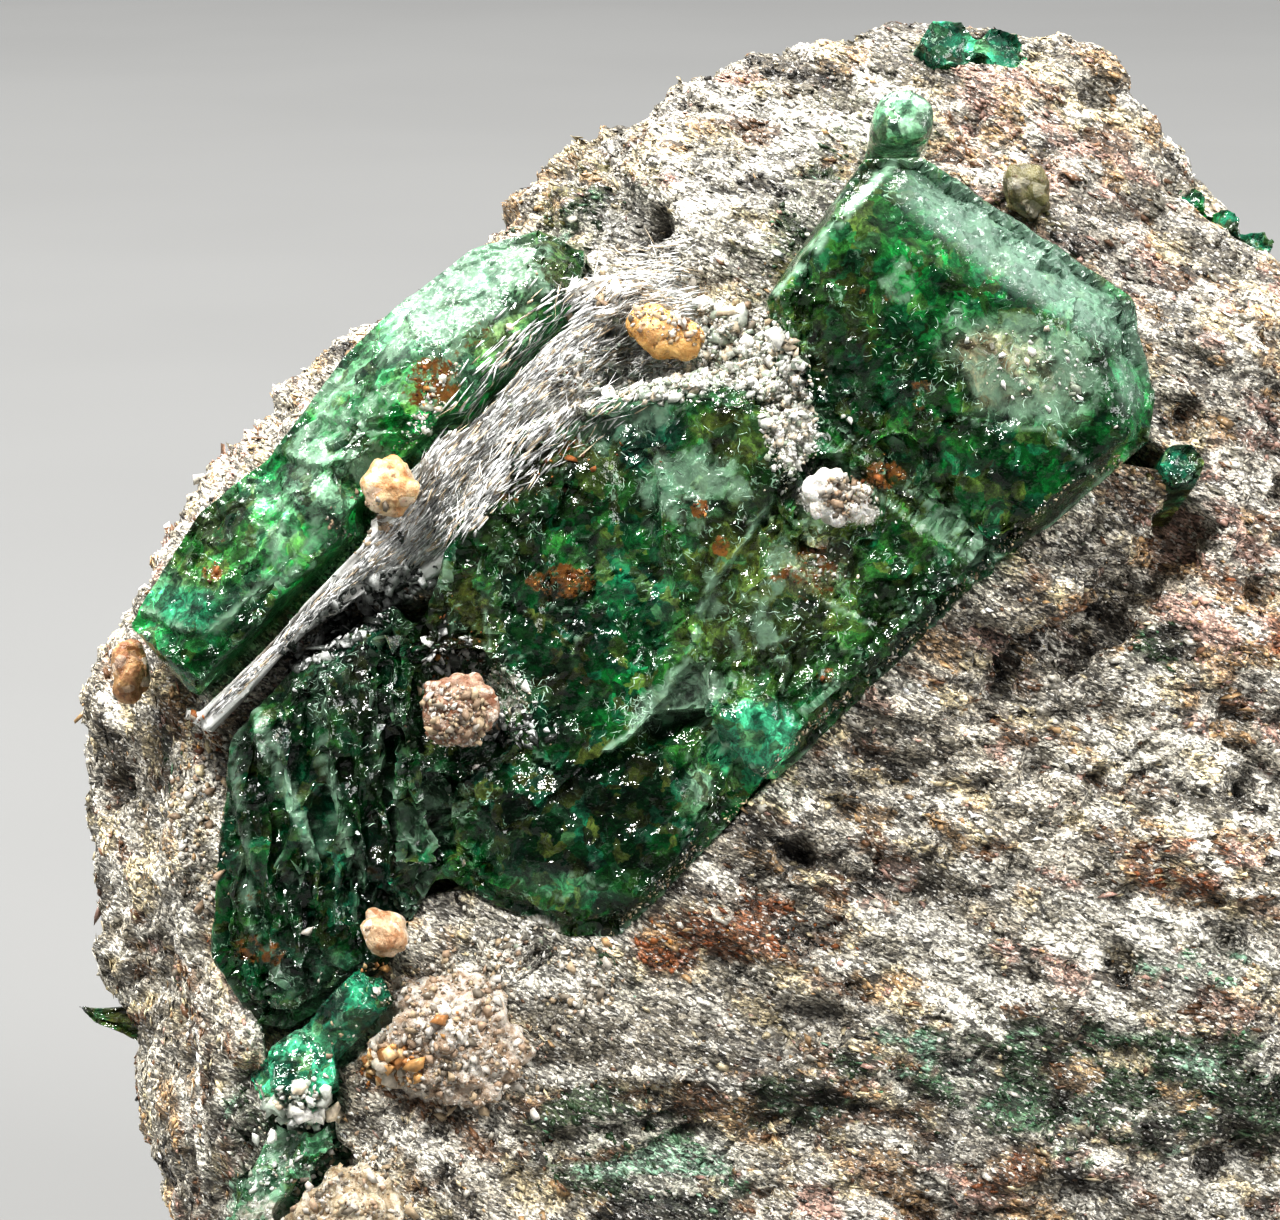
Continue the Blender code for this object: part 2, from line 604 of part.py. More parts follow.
def ridge_bmeshes():
    """The ragged cleavage ridges that run down the left block."""
    bodies = []
    for index in range(RIDGE_COUNT):
        share = index / (RIDGE_COUNT - 1)
        top = Vector(RIDGE_TOPS[0]).lerp(Vector(RIDGE_TOPS[1]), share)
        foot = Vector(RIDGE_FEET[0]).lerp(Vector(RIDGE_FEET[1]), share)
        wave = math.sin(index * 2.4)
        rise = RIDGE_HEIGHT * (0.75 + 0.25 * wave)
        half = RIDGE_WIDTH * (0.55 + 0.15 * math.cos(index * 1.7))
        floor = -1.35 + 0.75 * share
        corners = []
        for point, lift in ((top, 0.7), (top.lerp(foot, 0.4), 1.0), (foot, 0.45)):
            crest = floor + 0.35 + rise * lift
            corners.append((point.x - half, point.y, floor - 0.6))
            corners.append((point.x + half, point.y, floor - 0.6))
            corners.append((point.x - half * 0.15, point.y + 0.1 * wave, crest))
            corners.append((point.x + half * 0.4, point.y, crest - 0.12))
        bodies.append(hull_bmesh(corners))
    return bodies


def chip_bmesh(middle, length, depth, turn):
    """A shallow flat-sided chip off a crystal's face or edge."""
    return lump_bmesh(middle, (length * 1.5, length, depth * 2.0), turn, 2, 1)


def build_main(shop):
    """The big prism: three blocks, the raised slab, its corner step, ridges and chips."""
    bodies = [maker() for maker in main_makers()]
    bodies.append(hull_bmesh(with_root(SLAB_FACE, -0.4)))
    bodies.append(hull_bmesh(CORNER_STEP))
    bodies.extend(ridge_bmeshes())
    prism = shop.fuse("emerald_main", bodies, "emerald_deep")
    for chip in CHIPS:
        shop.boolean(prism, chip_bmesh(*chip), "DIFFERENCE")
    shop.seat(prism, [grain_maker(name) for name in
                      ("pink_grain", "snow_lump", "orange_grain", "peach_grain", "tan_grain")])
    return prism


def build_edge(shop):
    """The paler prism along the upper-left edge."""
    prism = shop.fuse("emerald_edge", [maker() for maker in edge_makers()], "emerald_pale")
    shop.seat(prism, main_makers() + [grain_maker("peach_grain"), grain_maker("left_grain")])
    return prism


def build_ribbon(shop):
    """The silky band, fitted between the prisms and the grains."""
    ribbon = shop.piece("mica_ribbon", ribbon_bmesh(), "silky_mica")
    grains = [grain_maker(name) for name in ("orange_grain", "peach_grain")]
    shop.seat(ribbon, grains + edge_makers() + main_makers())
    return ribbon


def build_small_prisms(shop):
    """The small crystals, each group grown together in one piece."""
    groups = (
        ("emerald_cluster", CLUSTER_PRISMS, "emerald_deep"),
        ("emerald_foot", FOOT_PRISMS, "emerald_pale"),
        ("emerald_crest", CREST_PRISMS, "emerald_pale"),
        ("emerald_peak", PEAK_PRISMS, "emerald_deep"),
        ("emerald_rim", RIM_PRISMS, "emerald_deep"),
        ("emerald_spur", SPUR_PRISMS, "emerald_olive"),
        ("emerald_side", SIDE_PRISMS, "emerald_olive"),
    )
    made = {}
    for name, prisms, finish in groups:
        bodies = [maker() for maker in prism_makers(prisms)]
        made[name] = shop.fuse(name, bodies, finish)
    shop.seat(made["emerald_cluster"], main_makers() + [grain_maker("tan_grain")])
    shop.seat(made["emerald_foot"], prism_makers(CLUSTER_PRISMS) + [grain_maker("cream_lump")])
    shop.seat(made["emerald_crest"], main_makers())
    shop.seat(made["emerald_side"], main_makers())
    return made


def build_grains(shop):
    """The coloured mineral grains."""
    finishes = {
        "white_lump": "white_feldspar", "orange_grain": "orange_feldspar",
        "peach_grain": "orange_feldspar", "tan_grain": "white_feldspar",
        "pink_grain": "white_feldspar", "cream_lump": "white_feldspar",
        "snow_lump": "white_feldspar", "left_grain": "orange_feldspar",
        "olive_grain": "olive_mica",
    }
    made = {
        name: shop.piece(name, grain_maker(name)(), finish)
        for name, finish in finishes.items()
    }
    shop.seat(made["white_lump"], main_makers() + prism_makers(CLUSTER_PRISMS)
              + [grain_maker("tan_grain")])
    shop.seat(made["olive_grain"], main_makers())
    return made


def main():
    """Build the whole specimen."""
    clear_scene()
    shop = Workshop()
    build_main(shop)
    build_edge(shop)
    build_ribbon(shop)
    build_small_prisms(shop)
    build_grains(shop)
    seats = main_makers() + edge_makers() + [ribbon_bmesh]
    for prisms in (CLUSTER_PRISMS, FOOT_PRISMS, CREST_PRISMS, PEAK_PRISMS, RIM_PRISMS,
                   SPUR_PRISMS, SIDE_PRISMS):
        seats.extend(prism_makers(prisms))
    seats.extend(grain_maker(name) for name in GRAINS)
    build_rock(shop, seats)
    for obj in shop.pieces.objects:
        if obj.type == "MESH":
            drop_crumbs(obj)
            merge_flats(obj)
    bpy.context.view_layer.update()


main()
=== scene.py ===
"""Emerald in matrix: beryl prisms grown in a sparkling mica schist, dressed for its looks.

Everything is laid out on the specimen's face, in millimetres: u runs to the right along the
face, v runs up it and w stands out from it. FaceFrame turns that into the row frame's metres.
"""

from __future__ import annotations

import logging
import math
from dataclasses import dataclass, field
from enum import Enum

import bmesh
import bpy
import numpy as np
from mathutils import Matrix, Vector
from mathutils.bvhtree import BVHTree


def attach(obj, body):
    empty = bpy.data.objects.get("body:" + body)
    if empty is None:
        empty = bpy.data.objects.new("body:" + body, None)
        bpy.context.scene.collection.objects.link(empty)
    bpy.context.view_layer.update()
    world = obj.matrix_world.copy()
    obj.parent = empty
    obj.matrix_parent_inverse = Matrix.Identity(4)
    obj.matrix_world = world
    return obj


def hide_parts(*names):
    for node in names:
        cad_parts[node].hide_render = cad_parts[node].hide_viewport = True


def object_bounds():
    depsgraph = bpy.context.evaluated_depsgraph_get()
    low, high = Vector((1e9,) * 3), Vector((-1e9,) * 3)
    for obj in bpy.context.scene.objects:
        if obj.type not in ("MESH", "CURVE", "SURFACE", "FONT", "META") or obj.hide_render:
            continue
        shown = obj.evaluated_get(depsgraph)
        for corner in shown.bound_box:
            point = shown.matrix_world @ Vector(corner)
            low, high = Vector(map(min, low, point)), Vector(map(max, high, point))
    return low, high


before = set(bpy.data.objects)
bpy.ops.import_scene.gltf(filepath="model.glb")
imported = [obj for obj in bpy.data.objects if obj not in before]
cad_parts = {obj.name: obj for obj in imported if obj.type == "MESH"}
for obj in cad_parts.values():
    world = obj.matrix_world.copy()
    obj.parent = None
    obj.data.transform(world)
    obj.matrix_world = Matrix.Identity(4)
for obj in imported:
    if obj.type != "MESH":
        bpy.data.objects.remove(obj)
CAD_BOX = [list(corner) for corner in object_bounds()]

LOG = logging.getLogger("emerald_in_matrix")
Array = np.ndarray

MM = 0.001
ROCK = "matrix_rock"
ROCK_SLOT = "mica_schist"


# ---- the face's frame ---------------------------------------------------------------------


class FaceFrame:
    """The specimen's leaning face: where its u, v and w run in the row frame."""

    LEAN = math.radians(12.0)
    CENTRE = np.array((-6.3, -10.5, 25.0))
    AXES = np.array(
        (
            (1.0, 0.0, 0.0),
            (0.0, math.sin(LEAN), math.cos(LEAN)),
            (0.0, -math.cos(LEAN), math.sin(LEAN)),
        )
    )

    @classmethod
    def to_row(cls, points: Array) -> Array:
        """Turn face millimetres into row metres.

        Args:
            points: Rows of u, v, w.

        Returns:
            Rows of x, y, z in metres.
        """
        return (np.asarray(points) @ cls.AXES + cls.CENTRE) * MM

    @classmethod
    def to_face(cls, points: Array) -> Array:
        """Turn row metres into face millimetres.

        Args:
            points: Rows of x, y, z in metres.

        Returns:
            Rows of u, v, w.
        """
        return (np.asarray(points) / MM - cls.CENTRE) @ cls.AXES.T

    @classmethod
    def matrix_at(cls, point: tuple[float, float, float]) -> Matrix:
        """Give a transform whose axes are the face's and whose origin is a face point.

        Args:
            point: The origin, in face millimetres.

        Returns:
            The 4 by 4 transform in the row frame.
        """
        matrix = Matrix(cls.AXES.tolist()).transposed().to_4x4()
        matrix.translation = Vector(cls.to_row(np.array([point]))[0])
        return matrix


# ---- noise --------------------------------------------------------------------------------


def smooth(low: float, high: float, values: Array) -> Array:
    """Ease from 0 at low to 1 at high.

    Args:
        low: Where the ease starts.
        high: Where it ends; it may lie below low.
        values: The values to ease.

    Returns:
        The eased values, 0 to 1.
    """
    t = np.clip((values - low) / (high - low), 0.0, 1.0)
    return t * t * (3.0 - 2.0 * t)


def scatter_hash(cell: Array, seed: int) -> Array:
    """Give each lattice cell a number of its own.

    Args:
        cell: Whole-number rows of three.
        seed: Which set of numbers to draw from.

    Returns:
        One number per row, 0 to 1.
    """
    c = cell.astype(np.int64).astype(np.uint32)
    h = c[..., 0] * np.uint32(0x8DA6B343)
    h ^= c[..., 1] * np.uint32(0xD8163841)
    h ^= c[..., 2] * np.uint32(0xCB1AB31F)
    h ^= np.uint32((seed * 0x9E3779B9 + 0x7F4A7C15) & 0xFFFFFFFF)
    h ^= h >> np.uint32(15)
    h *= np.uint32(0x2C1B3C6D)
    h ^= h >> np.uint32(12)
    h *= np.uint32(0x297A2D39)
    h ^= h >> np.uint32(15)
    return h.astype(np.float64) / 4294967296.0


def value_noise(points: Array, seed: int) -> Array:
    """Smooth random field with features one unit across.

    Args:
        points: Rows of three, already divided by the feature size.
        seed: Which field.

    Returns:
        One value per row, -1 to 1.
    """
    base = np.floor(points)
    part = points - base
    ease = part * part * (3.0 - 2.0 * part)
    total = np.zeros(len(points))
    for corner in np.ndindex(2, 2, 2):
        step = np.array(corner)
        share = np.prod(np.where(step, ease, 1.0 - ease), axis=1)
        total += share * scatter_hash(base + step, seed)
    return total * 2.0 - 1.0


def fractal(points: Array, size: float, octaves: int, seed: int, gain: float = 0.5) -> Array:
    """Sum value noise over finer and finer features.

    Args:
        points: Rows of u, v, w in millimetres.
        size: The largest feature.
        octaves: How many sizes are summed.
        seed: Which field.
        gain: How much weaker each finer size is.

    Returns:
        One value per row, about -1 to 1.
    """
    total = np.zeros(len(points))
    weight, reach, whole = 1.0, size, 0.0
    for octave in range(octaves):
        total += weight * value_noise(points / reach + 17.3 * octave, seed + octave)
        whole += weight
        weight *= gain
        reach *= 0.5
    return total / whole


@dataclass
class Cells:
    """Each point's nearest grain in a jittered lattice of grains."""

    points: Array
    seed: int
    jitter: float = 0.9

    def __post_init__(self) -> None:
        """Find the nearest grain and the distance to the next."""
        base = np.floor(self.points)
        self.first = np.full(len(base), 9.0)
        self.second = np.full(len(base), 9.0)
        self.cell = base
        for corner in np.ndindex(3, 3, 3):
            cell = base + (np.array(corner) - 1)
            away = np.linalg.norm(self.points - self.centre(cell), axis=1)
            nearer = away < self.first
            self.second = np.where(nearer, self.first, np.minimum(self.second, away))
            self.cell = np.where(nearer[:, None], cell, self.cell)
            self.first = np.where(nearer, away, self.first)

    def centre(self, cell: Array) -> Array:
        """Give the middles of some cells' grains."""
        stray = np.stack([scatter_hash(cell, self.seed + k) for k in (1, 2, 3)], axis=1)
        return cell + 0.5 + (stray - 0.5) * self.jitter

    def chance(self, draw: int = 4) -> Array:
        """Give each point its grain's own number, 0 to 1."""
        return scatter_hash(self.cell, self.seed + draw)

    def tilted(self) -> Array:
        """Give each point its height on its grain's own tilted plane, about -0.5 to 0.5."""
        lean = np.stack([self.chance(k) for k in (5, 6, 7)], axis=1) - 0.5
        return ((self.points - self.centre(self.cell)) * lean).sum(axis=1)

    def border(self) -> Array:
        """Say how far each point lies from its grain's border."""
        return self.second - self.first


def unit(vectors: Array) -> Array:
    """Scale each row to length one."""
    return vectors / np.maximum(np.linalg.norm(vectors, axis=-1, keepdims=True), 1e-9)


# ---- patches: where on the face a colour or a crust lies ----------------------------------


@dataclass(frozen=True)
class Patch:
    """A soft-edged oval on the face: its middle, its reach each way, its turn, its strength."""

    u: float
    v: float
    reach_u: float
    reach_v: float
    turn: float = 0.0
    strength: float = 1.0

    def away(self, points: Array) -> Array:
        """Say how far out each point lies: 0 in the middle and 1 on the oval.

        Args:
            points: Rows of u, v, w.

        Returns:
            One distance per row.
        """
        c, s = math.cos(math.radians(self.turn)), math.sin(math.radians(self.turn))
        du, dv = points[:, 0] - self.u, points[:, 1] - self.v
        return np.hypot((du * c + dv * s) / self.reach_u, (dv * c - du * s) / self.reach_v)

    def weight(self, points: Array, wobble: Array | float = 0.0) -> Array:
        """Say how strongly the patch holds at each point.

        Args:
            points: Rows of u, v, w.
            wobble: Added to the distance, so that the edge wanders.

        Returns:
            One weight per row, 0 to the patch's strength.
        """
        return self.strength * smooth(1.25, 0.65, self.away(points) + wobble)


@dataclass(frozen=True)
class Seam:
    """A line on the face: a groove or a blade, its width, how far it rises, how pale it is painted, partly as painted
    highlight.
    """

    run: tuple[tuple[float, float], ...]
    width: float
    rise: float
    glow: float
    drop: float = 0.0
    reach: float = 2.0

    def weight(self, points: Array, stray: Array) -> tuple[Array, Array]:
        """Say how near the line each point lies, and how far the line's right side has dropped.

        Args:
            points: Rows of u, v, w.
            stray: Rows of u, v added to the points, so that the line wanders.

        Returns:
            1 on the line and 0 from its width outwards, and the share of the drop.
        """
        best = np.full(len(points), 99.0)
        side = np.zeros(len(points))
        place = points[:, :2] + stray
        run = np.array(self.run)
        for tail, head in zip(run[:-1], run[1:]):
            way = head - tail
            share = np.clip(((place - tail) @ way) / (way @ way), 0.0, 1.0)
            offset = place - tail - share[:, None] * way
            away = np.linalg.norm(offset, axis=1)
            nearer = away < best
            best = np.where(nearer, away, best)
            turn = way[0] * offset[:, 1] - way[1] * offset[:, 0]
            side = np.where(nearer, turn, side)
        fall = smooth(0.0, 0.14, best) * smooth(self.reach, 0.2, best) * (side < 0.0)
        return smooth(self.width, self.width * 0.25, best), fall


def strongest(patches: tuple[Patch, ...], points: Array, wobble: Array | float = 0.0) -> Array:
    """Take the strongest of several patches at each point.

    Args:
        patches: The patches.
        points: Rows of u, v, w.
        wobble: Added to the distances.

    Returns:
        One weight per row.
    """
    best = np.zeros(len(points))
    for patch in patches:
        best = np.maximum(best, patch.weight(points, wobble))
    return best


# ---- shells: triangle meshes on the face --------------------------------------------------


@dataclass
class Shell:
    """A triangle mesh in face millimetres, with values kept at its points."""

    points: Array
    faces: Array
    values: dict[str, Array] = field(default_factory=dict)

    @classmethod
    def of_node(cls, node: str) -> Shell:
        """Copy a CAD node's mesh.

        Args:
            node: The node's name.

        Returns:
            Its shell.
        """
        return cls.of_mesh(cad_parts[node].data, row_frame=True)

    @classmethod
    def of_mesh(cls, mesh: bpy.types.Mesh, row_frame: bool = False) -> Shell:
        """Copy a Blender mesh.

        Args:
            mesh: The mesh.
            row_frame: True where its points are row metres.

        Returns:
            Its shell, all triangles.
        """
        mesh.calc_loop_triangles()
        points = np.empty(len(mesh.vertices) * 3)
        mesh.vertices.foreach_get("co", points)
        points = points.reshape(-1, 3)
        faces = np.empty(len(mesh.loop_triangles) * 3, np.int32)
        mesh.loop_triangles.foreach_get("vertices", faces)
        return cls(FaceFrame.to_face(points) if row_frame else points, faces.reshape(-1, 3))

    def plain_mesh(self, name: str) -> bpy.types.Mesh:
        """Make a Blender mesh with this shell's points as they are.

        Args:
            name: The mesh's name.

        Returns:
            The mesh.
        """
        mesh = bpy.data.meshes.new(name)
        mesh.vertices.add(len(self.points))
        mesh.vertices.foreach_set("co", np.ascontiguousarray(self.points, np.float32).ravel())
        mesh.loops.add(len(self.faces) * 3)
        mesh.loops.foreach_set("vertex_index", np.ascontiguousarray(self.faces, np.int32).ravel())
        mesh.polygons.add(len(self.faces))
        mesh.polygons.foreach_set("loop_start", np.arange(0, len(self.faces) * 3, 3, np.int32))
        mesh.update(calc_edges=True)
        return mesh

    def remeshed(self, voxel: float) -> Shell:
        """Rebuild the shell on an even grid.

        Args:
            voxel: The grid's pitch, in millimetres.

        Returns:
            The new shell.
        """
        mesh = self.plain_mesh("remesh_blank")
        blank = bpy.data.objects.new("remesh_blank", mesh)
        bpy.context.scene.collection.objects.link(blank)
        grid = blank.modifiers.new("grid", "REMESH")
        grid.mode = "VOXEL"
        grid.voxel_size = voxel
        graph = bpy.context.evaluated_depsgraph_get()
        shell = Shell.of_mesh(blank.evaluated_get(graph).to_mesh())
        blank.evaluated_get(graph).to_mesh_clear()
        bpy.data.objects.remove(blank)
        bpy.data.meshes.remove(mesh)
        return shell

    def refined(self, wanted: Array) -> Shell:
        """Cut the wanted triangles in four, and their neighbours to match.

        Args:
            wanted: True for each triangle to cut.

        Returns:
            The finer shell.
        """
        edges = np.sort(self.faces[:, [[0, 1], [1, 2], [2, 0]]].reshape(-1, 2), axis=1)
        keys = edges[:, 0].astype(np.int64) * len(self.points) + edges[:, 1]
        unique, back = np.unique(keys, return_inverse=True)
        back = back.reshape(-1, 3)
        cut = np.zeros(len(unique), bool)
        cut[back[wanted].ravel()] = True
        ends = np.stack([unique // len(self.points), unique % len(self.points)], axis=1)[cut]
        middle = np.full(len(unique), -1)
        middle[cut] = len(self.points) + np.arange(cut.sum())
        points = np.vstack([self.points, self.points[ends].mean(axis=1)])
        mids = middle[back]
        count = (mids >= 0).sum(axis=1)
        parts = [self.faces[count == 0]]
        for turn in range(3):
            face = np.roll(self.faces, -turn, axis=1)
            mid = np.roll(mids, -turn, axis=1)
            a, b, c = face.T
            ab, bc, ca = mid.T
            one = (count == 1) & (ab >= 0)
            parts += [np.stack([a, ab, c], 1)[one], np.stack([ab, b, c], 1)[one]]
            two = (count == 2) & (ca < 0)
            parts += [np.stack([ab, b, bc], 1)[two], np.stack([a, ab, bc], 1)[two]]
            parts += [np.stack([a, bc, c], 1)[two]]
        a, b, c = self.faces[count == 3].T
        ab, bc, ca = mids[count == 3].T
        for corner in ((a, ab, ca), (ab, b, bc), (ca, bc, c), (ab, bc, ca)):
            parts.append(np.stack(corner, 1))
        return Shell(points, np.vstack(parts).astype(np.int32))

    def face_normals(self) -> Array:
        """Give each triangle's normal, as long as twice its area."""
        a, b, c = (self.points[self.faces[:, k]] for k in range(3))
        return np.cross(b - a, c - a)

    def normals(self) -> Array:
        """Give each point's outward unit normal."""
        face = self.face_normals()
        total = np.zeros_like(self.points)
        for k in range(3):
            for axis in range(3):
                total[:, axis] += np.bincount(
                    self.faces[:, k], face[:, axis], minlength=len(self.points)
                )
        return unit(total)

    def spread(self, values: Array, rounds: int = 1) -> Array:
        """Average values with those of each point's neighbours.

        Args:
            values: One row per point.
            rounds: How often to average.

        Returns:
            The averaged values.
        """
        ends = np.vstack([self.faces[:, [0, 1]], self.faces[:, [1, 2]], self.faces[:, [2, 0]]])
        count = len(self.points)
        degree = np.maximum(np.bincount(ends[:, 0], minlength=count), 1)
        flat = values.reshape(count, -1)
        for _ in range(rounds):
            near = np.stack(
                [np.bincount(ends[:, 0], column[ends[:, 1]], minlength=count) for column in flat.T],
                axis=1,
            )
            flat = 0.5 * flat + 0.5 * near / degree[:, None]
        return flat.reshape(values.shape)

    def crest(self, rounds: int) -> Array:
        """Say how far each point stands proud of its surroundings.

        Args:
            rounds: How wide the surroundings reach.

        Returns:
            Millimetres, positive on edges and negative in grooves.
        """
        return ((self.points - self.spread(self.points, rounds)) * self.normals()).sum(axis=1)

    def pushed(self, height: Array) -> Shell:
        """Move each point along its normal.

        Args:
            height: Millimetres for each point.

        Returns:
            The new shell, with the same faces.
        """
        return Shell(self.points + self.normals() * height[:, None], self.faces, self.values)

    def piece(self, name: str, finish: bpy.types.Material, angle: float | None = None) -> Piece:
        """Make the shell a shown object inside the CAD box.

        Args:
            name: The object's name.
            finish: Its material.
            angle: Edges sharper than this many degrees stay sharp; None shades all flat.

        Returns:
            The piece.
        """
        low, high = (np.array(corner) for corner in CAD_BOX)
        row = np.clip(FaceFrame.to_row(self.points), low + 1e-6, high - 1e-6)
        mesh = Shell(row, self.faces).plain_mesh(name)
        for key, value in self.values.items():
            if value.ndim == 1:
                store = mesh.attributes.new(key, "FLOAT", "POINT")
                store.data.foreach_set("value", value.astype(np.float32))
            else:
                store = mesh.attributes.new(key, "FLOAT_COLOR", "POINT")
                rgba = np.hstack([value, np.ones((len(value), 1))])
                store.data.foreach_set("color", rgba.astype(np.float32).ravel())
        if angle is not None:
            mesh.shade_smooth()
            mesh.set_sharp_from_angle(angle=math.radians(angle))
        mesh.materials.append(finish)
        piece = bpy.data.objects.new(name, mesh)
        bpy.context.scene.collection.objects.link(piece)
        return Piece(piece, len(self.faces))


@dataclass
class Piece:
    """A shown object and its triangle count."""

    thing: bpy.types.Object
    triangles: int

    def settle(self, slot: str, *nodes: str) -> Piece:
        """Ride the piece on the specimen, in place of the CAD nodes it stands for.

        Args:
            slot: The record's material slot; not used.
            nodes: The nodes it stands for.

        Returns:
            The piece.
        """
        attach(self.thing, "root")
        if nodes:
            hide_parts(*nodes)
        LOG.info("%s: %d triangles", self.thing.name, self.triangles)
        return self


def joined(shells: list[Shell]) -> Shell:
    """Lay several shells side by side in one.

    Args:
        shells: The shells, all with the same kinds of values.

    Returns:
        One shell of separate bodies.
    """
    start, faces = 0, []
    for shell in shells:
        faces.append(shell.faces + start)
        start += len(shell.points)
    values = {key: np.concatenate([s.values[key] for s in shells]) for key in shells[0].values}
    return Shell(np.vstack([s.points for s in shells]), np.vstack(faces), values)


@dataclass(frozen=True)
class Chip:
    """The closed shape of one flake or grain, before it is scaled, turned and laid down."""

    rim: int
    top: float = 1.0
    wander: float = 0.35

    def strewn(self, spot: Array, out: Array, along: Array, size: Array, seed: int) -> Shell:
        """Lay one chip at each spot, no two alike.

        Args:
            spot: Rows of u, v, w.
            out: Each chip's flat side's direction.
            along: Each chip's long direction.
            size: Rows of length, width and thickness.
            seed: Which random shapes.

        Returns:
            One shell of all the chips.
        """
        rng = np.random.default_rng(seed)
        count = len(spot)
        out = unit(out)
        across = unit(np.cross(out, along))
        along = np.cross(across, out)
        angle = np.linspace(0.0, 2.0 * math.pi, self.rim, endpoint=False)
        angle = angle[None, :] + rng.uniform(-0.35, 0.35, (count, self.rim))
        reach = 0.5 * (1.0 + rng.uniform(-self.wander, self.wander * 0.4, (count, self.rim)))
        lift = rng.uniform(-0.3, 0.3, (count, self.rim))
        local = np.zeros((count, self.rim + 2, 3))
        local[:, : self.rim, 0] = np.cos(angle) * reach
        local[:, : self.rim, 1] = np.sin(angle) * reach
        local[:, : self.rim, 2] = lift
        local[:, self.rim, :2] = rng.uniform(-0.16, 0.16, (count, 2))
        local[:, self.rim, 2] = 0.5 * self.top
        local[:, self.rim + 1, 2] = -0.5
        local *= size[:, None, :]
        axes = np.stack([along, across, out], axis=1)
        points = spot[:, None, :] + local @ axes
        ring = np.arange(self.rim)
        after = (ring + 1) % self.rim
        upper = np.stack([ring, after, np.full(self.rim, self.rim)], 1)
        lower = np.stack([after, ring, np.full(self.rim, self.rim + 1)], 1)
        one = np.vstack([upper, lower])
        faces = one[None] + (np.arange(count) * (self.rim + 2))[:, None, None]
        return Shell(points.reshape(-1, 3), faces.reshape(-1, 3).astype(np.int32))

    def spread_value(self, value: Array) -> Array:
        """Repeat one value per chip for each of the chip's points."""
        return np.repeat(value, self.rim + 2, axis=0)


class Surface:
    """A shell that points are looked up on."""

    def __init__(self, *shells: Shell) -> None:
        """Build the lookup tree.

        Args:
            shells: The shells, taken together.
        """
        whole = joined([Shell(s.points, s.faces) for s in shells])
        self.tree = BVHTree.FromPolygons(whole.points.tolist(), whole.faces.tolist())

    def nearest(self, points: Array, reach: float) -> tuple[Array, Array, Array]:
        """Find the nearest place on the surface to each point.

        Args:
            points: Rows of u, v, w.
            reach: How far to look.

        Returns:
            The places, their normals, and the distances, which are reach where none is near.
        """
        place, normal = points.copy(), np.zeros_like(points)
        away = np.full(len(points), reach)
        for index, point in enumerate(points):
            hit, out, _, distance = self.tree.find_nearest(point, reach)
            if hit is not None:
                place[index], normal[index], away[index] = hit, out, distance
        return place, normal, away

    def drop(self, spots: Array, start: float = 20.0) -> tuple[Array, Array, Array]:
        """Drop points on to the surface from in front of the face.

        Args:
            spots: Rows of u, v.
            start: The w that they fall from.

        Returns:
            The places, their normals, and True for each that landed.
        """
        count = len(spots)
        place, normal, landed = np.zeros((count, 3)), np.zeros((count, 3)), np.zeros(count, bool)
        down = Vector((0.0, 0.0, -1.0))
        for index, (u, v) in enumerate(spots):
            hit, out, _, _ = self.tree.ray_cast(Vector((u, v, start)), down)
            if hit is not None:
                place[index], normal[index], landed[index] = hit, out, True
        return place, normal, landed


# ---- colours ------------------------------------------------------------------------------


def paint(red: float, green: float, blue: float) -> tuple[float, float, float]:
    """Turn a colour as a screen shows it, 0 to 255, into the shader's own scale.

    Args:
        red: The red.
        green: The green.
        blue: The blue.

    Returns:
        The colour, each part 0 to 1.
    """
    return tuple(((c / 255 + 0.055) / 1.055) ** 2.4 if c > 10 else c / 3294 for c in (red, green, blue))


class Mineral(Enum):
    """The colours of the schist's own grains; the darkest also serves as painted shade."""

    SNOW = paint(238, 234, 222)
    SILVER = paint(196, 191, 178)
    GREY = paint(130, 125, 112)
    CREAM = paint(216, 202, 168)
    TAN = paint(176, 146, 108)
    BROWN = paint(112, 82, 58)
    RUST = paint(140, 84, 48)
    PINK = paint(190, 156, 142)
    MOSS = paint(44, 66, 38)
    LEAF = paint(90, 130, 96)
    MINT = paint(154, 190, 164)
    OLIVE = paint(112, 106, 58)
    SOOT = paint(40, 36, 30)


class BerylTint(Enum):
    """The colours that emerald takes on from place to place."""

    NIGHT = (0.002, 0.040, 0.010)
    DEEP = (0.004, 0.105, 0.020)
    GRASS = (0.050, 0.185, 0.035)
    BRIGHT = (0.020, 0.380, 0.080)
    TEAL = (0.020, 0.190, 0.105)
    CYAN = (0.110, 0.640, 0.350)
    PALE = (0.380, 0.600, 0.420)
    MINT = (0.200, 0.470, 0.270)
    OLIVE = (0.150, 0.160, 0.035)
    CREAM = (0.660, 0.560, 0.350)
    MOSS = (0.210, 0.300, 0.070)
    SMOKE = (0.070, 0.050, 0.022)


# ---- node trees ---------------------------------------------------------------------------


